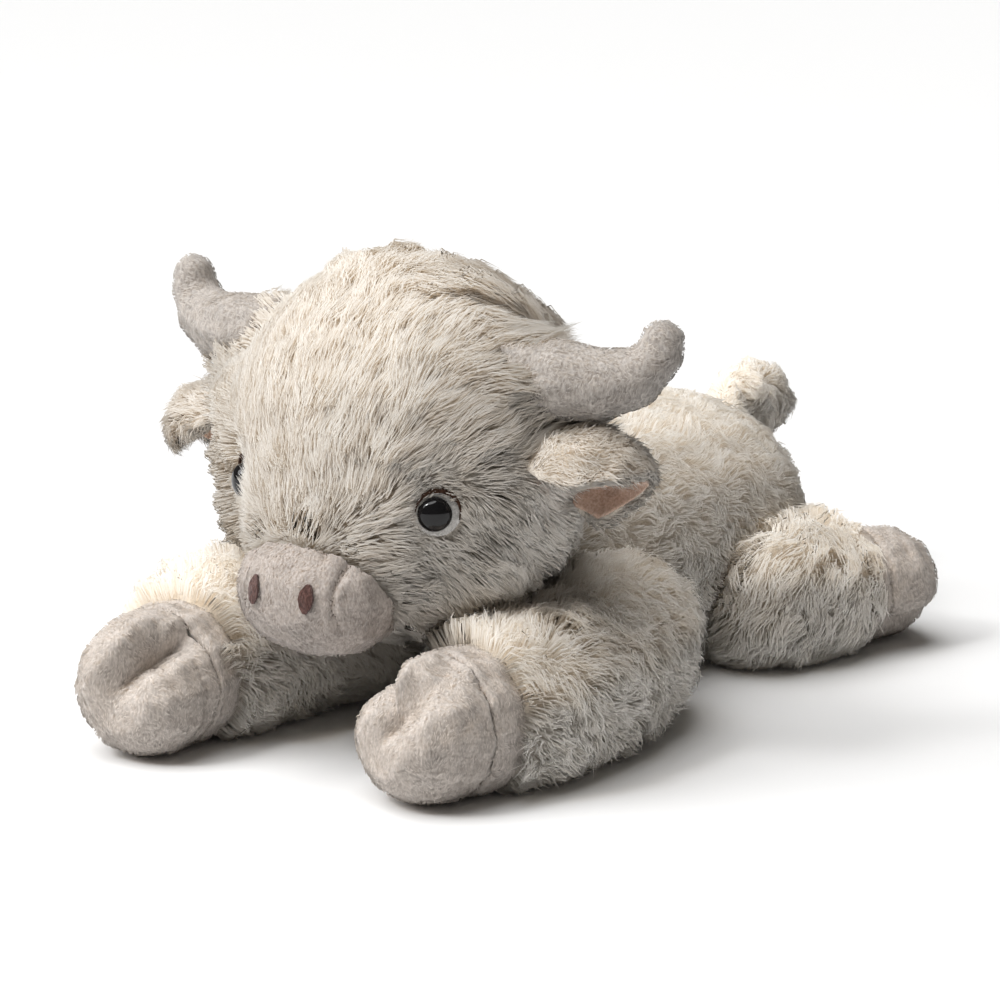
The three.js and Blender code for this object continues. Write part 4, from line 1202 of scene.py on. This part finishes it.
def moulded(name, dark, light, smoothest, roughest, scale, **values):
    """Moulded plastic, whose flow marks vary its colour and its gloss."""
    material, tree, shader = new_material(name, **values)
    marks = on_object(tree, moulded_surface, Scale=scale, Dark=dark, Light=light, Smoothest=smoothest,
                      Roughest=roughest)
    put(tree, shader.inputs["Base Color"], marks["Colour"])
    put(tree, shader.inputs["Roughness"], marks["Roughness"])
    return material


gloss = moulded("eye_gloss", (0.004, 0.004, 0.005), (0.010, 0.009, 0.009), 0.03, 0.07, 260,
                Specular_IOR_Level=0.3, Coat_Weight=0.12, Coat_Roughness=0.02)
grey_plastic = moulded("washer_plastic", (0.50, 0.50, 0.48), (0.66, 0.66, 0.64), 0.35, 0.60, 180)
felt = cloth_material("pale_felt_ring", (0.50, 0.485, 0.46), (0.62, 0.60, 0.575), (0.72, 0.70, 0.68), 0.0008, 0.5)
lid_felt = cloth_material("brown_felt_lid", (0.026, 0.012, 0.007), (0.045, 0.022, 0.013), (0.075, 0.038, 0.024),
                          0.0008, 0.6)
brown_thread = cloth_material("brown_thread", (0.055, 0.026, 0.021), (0.095, 0.045, 0.037), (0.15, 0.078, 0.066),
                              0.0006, 0.8, sheen=0.3, streak=(1, 1, 0.3))

print("finishes ready:", gloss.name, grey_plastic.name, felt.name, lid_felt.name, brown_thread.name)

# %% Eyes, nostrils and washers
def felt_shape(rows, part, middle, outwards):
    """The pale ring is lifted to show all round the dome, and the brown lid thinned to a rim outside it."""
    up = unit(np.array([0, 0, 1.0]) - outwards * outwards[2])
    side = np.cross(up, outwards) * np.sign(outwards[0])
    flat = rows - middle
    height = (flat @ outwards)[:, None] * outwards
    flat = flat - height
    radius = np.linalg.norm(flat, axis=1)
    if part == "white":
        return rows + up * (0.0013 * smoothstep(radius, 0.0035, 0.0080))[:, None]
    slim = 0.0095 + (radius - radius.min()) * 0.62
    return middle + height + flat / radius[:, None] * slim[:, None] + side * 0.0012


for side in SIDES:
    dome, middle, outwards = dome_of(f"eye_{side}_button", f"eye_{side}_dome")
    dressed(dome, "head", gloss, "eye", f"eye_{side}_button")
    for part, title, material, slot in (("white", "ring", felt, "pale_felt"),
                                        ("lid", "lid_edge", lid_felt, "brown_felt")):
        piece = copy_of(f"eye_{side}_{part}", f"eye_{side}_{title}")
        set_points(piece, felt_shape(points_of(piece), part, middle, outwards))
        dressed(piece, "head", material, slot, f"eye_{side}_{part}")
for name, solid in frame["nodes"].items():
    finish = grey_plastic if name.endswith("_washer") else brown_thread if name.startswith("nostril_") else None
    if finish:
        solid.data.materials.clear()
        solid.data.materials.append(finish)
print("rigid pieces finished")

# %% [markdown]
# ## Floor and light
# The photograph has a white floor that runs into a white wall. Its shadows fall to the right and back, and the
# spark in the eye shows a softbox up on the left, so that direction was worked out from the spark. The air is
# seen white behind the floor, but lights the toy only faintly, so that the underside stays as dark as it is.

# %% Floor, world and lights
bpy.ops.object.select_all(action="DESELECT")
bpy.ops.mesh.primitive_plane_add(size=14, location=(0, 0, 0))
floor = settle(bpy.context.object, "floor")
paper, _, _ = new_material("white_paper", Base_Color=(0.81, 0.81, 0.81), Roughness=0.9, Specular_IOR_Level=0.1)
floor.data.materials.append(paper)

world = bpy.data.worlds.new("studio")
bpy.context.scene.world = world
world.use_nodes = True
tree = world.node_tree
air = tree.nodes["Background"]
put(tree, air.inputs["Color"], (1.0, 0.95, 0.88))
put(tree, air.inputs["Strength"], 0.09)
wall = node(tree, "Background", {}).outputs[0]
seen = node(tree, "LightPath", {}).outputs["Is Camera Ray"]
either = node(tree, "MixShader", {0: seen, 1: air.outputs[0], 2: wall})
put(tree, tree.nodes["World Output"].inputs["Surface"], either.outputs[0])


def sky_light(name, azimuth, elevation, strength, spread):
    """A far light: strength in watts per square metre, spread as its apparent width in degrees."""
    lamp = bpy.data.lights.new(name, "SUN")
    lamp.energy, lamp.angle = strength, math.radians(spread)
    aimed(name, lamp, Vector((0, 0, 0)), -direction(azimuth, elevation))


sky_light("window_light", -50, 38, 1.28, 30)
sky_light("ceiling_light", -42, 74, 2.8, 54)
softbox = bpy.data.lights.new("softbox", "AREA")
softbox.shape, softbox.size, softbox.energy = "DISK", 0.5, 20
EYE_SPOT = Vector((0.051, -0.155, 0.123))
aimed("softbox", softbox, EYE_SPOT + direction(-29, 48) * 2.5, EYE_SPOT)
bpy.context.scene.view_settings.view_transform = "Standard"
print("light and floor ready")

# %% Finish
total = 0
for item in bpy.context.scene.objects:
    if item.type == "MESH" and not item.hide_render:
        item.data.calc_loop_triangles()
        total += len(item.data.loop_triangles)
print("triangles in all:", total)
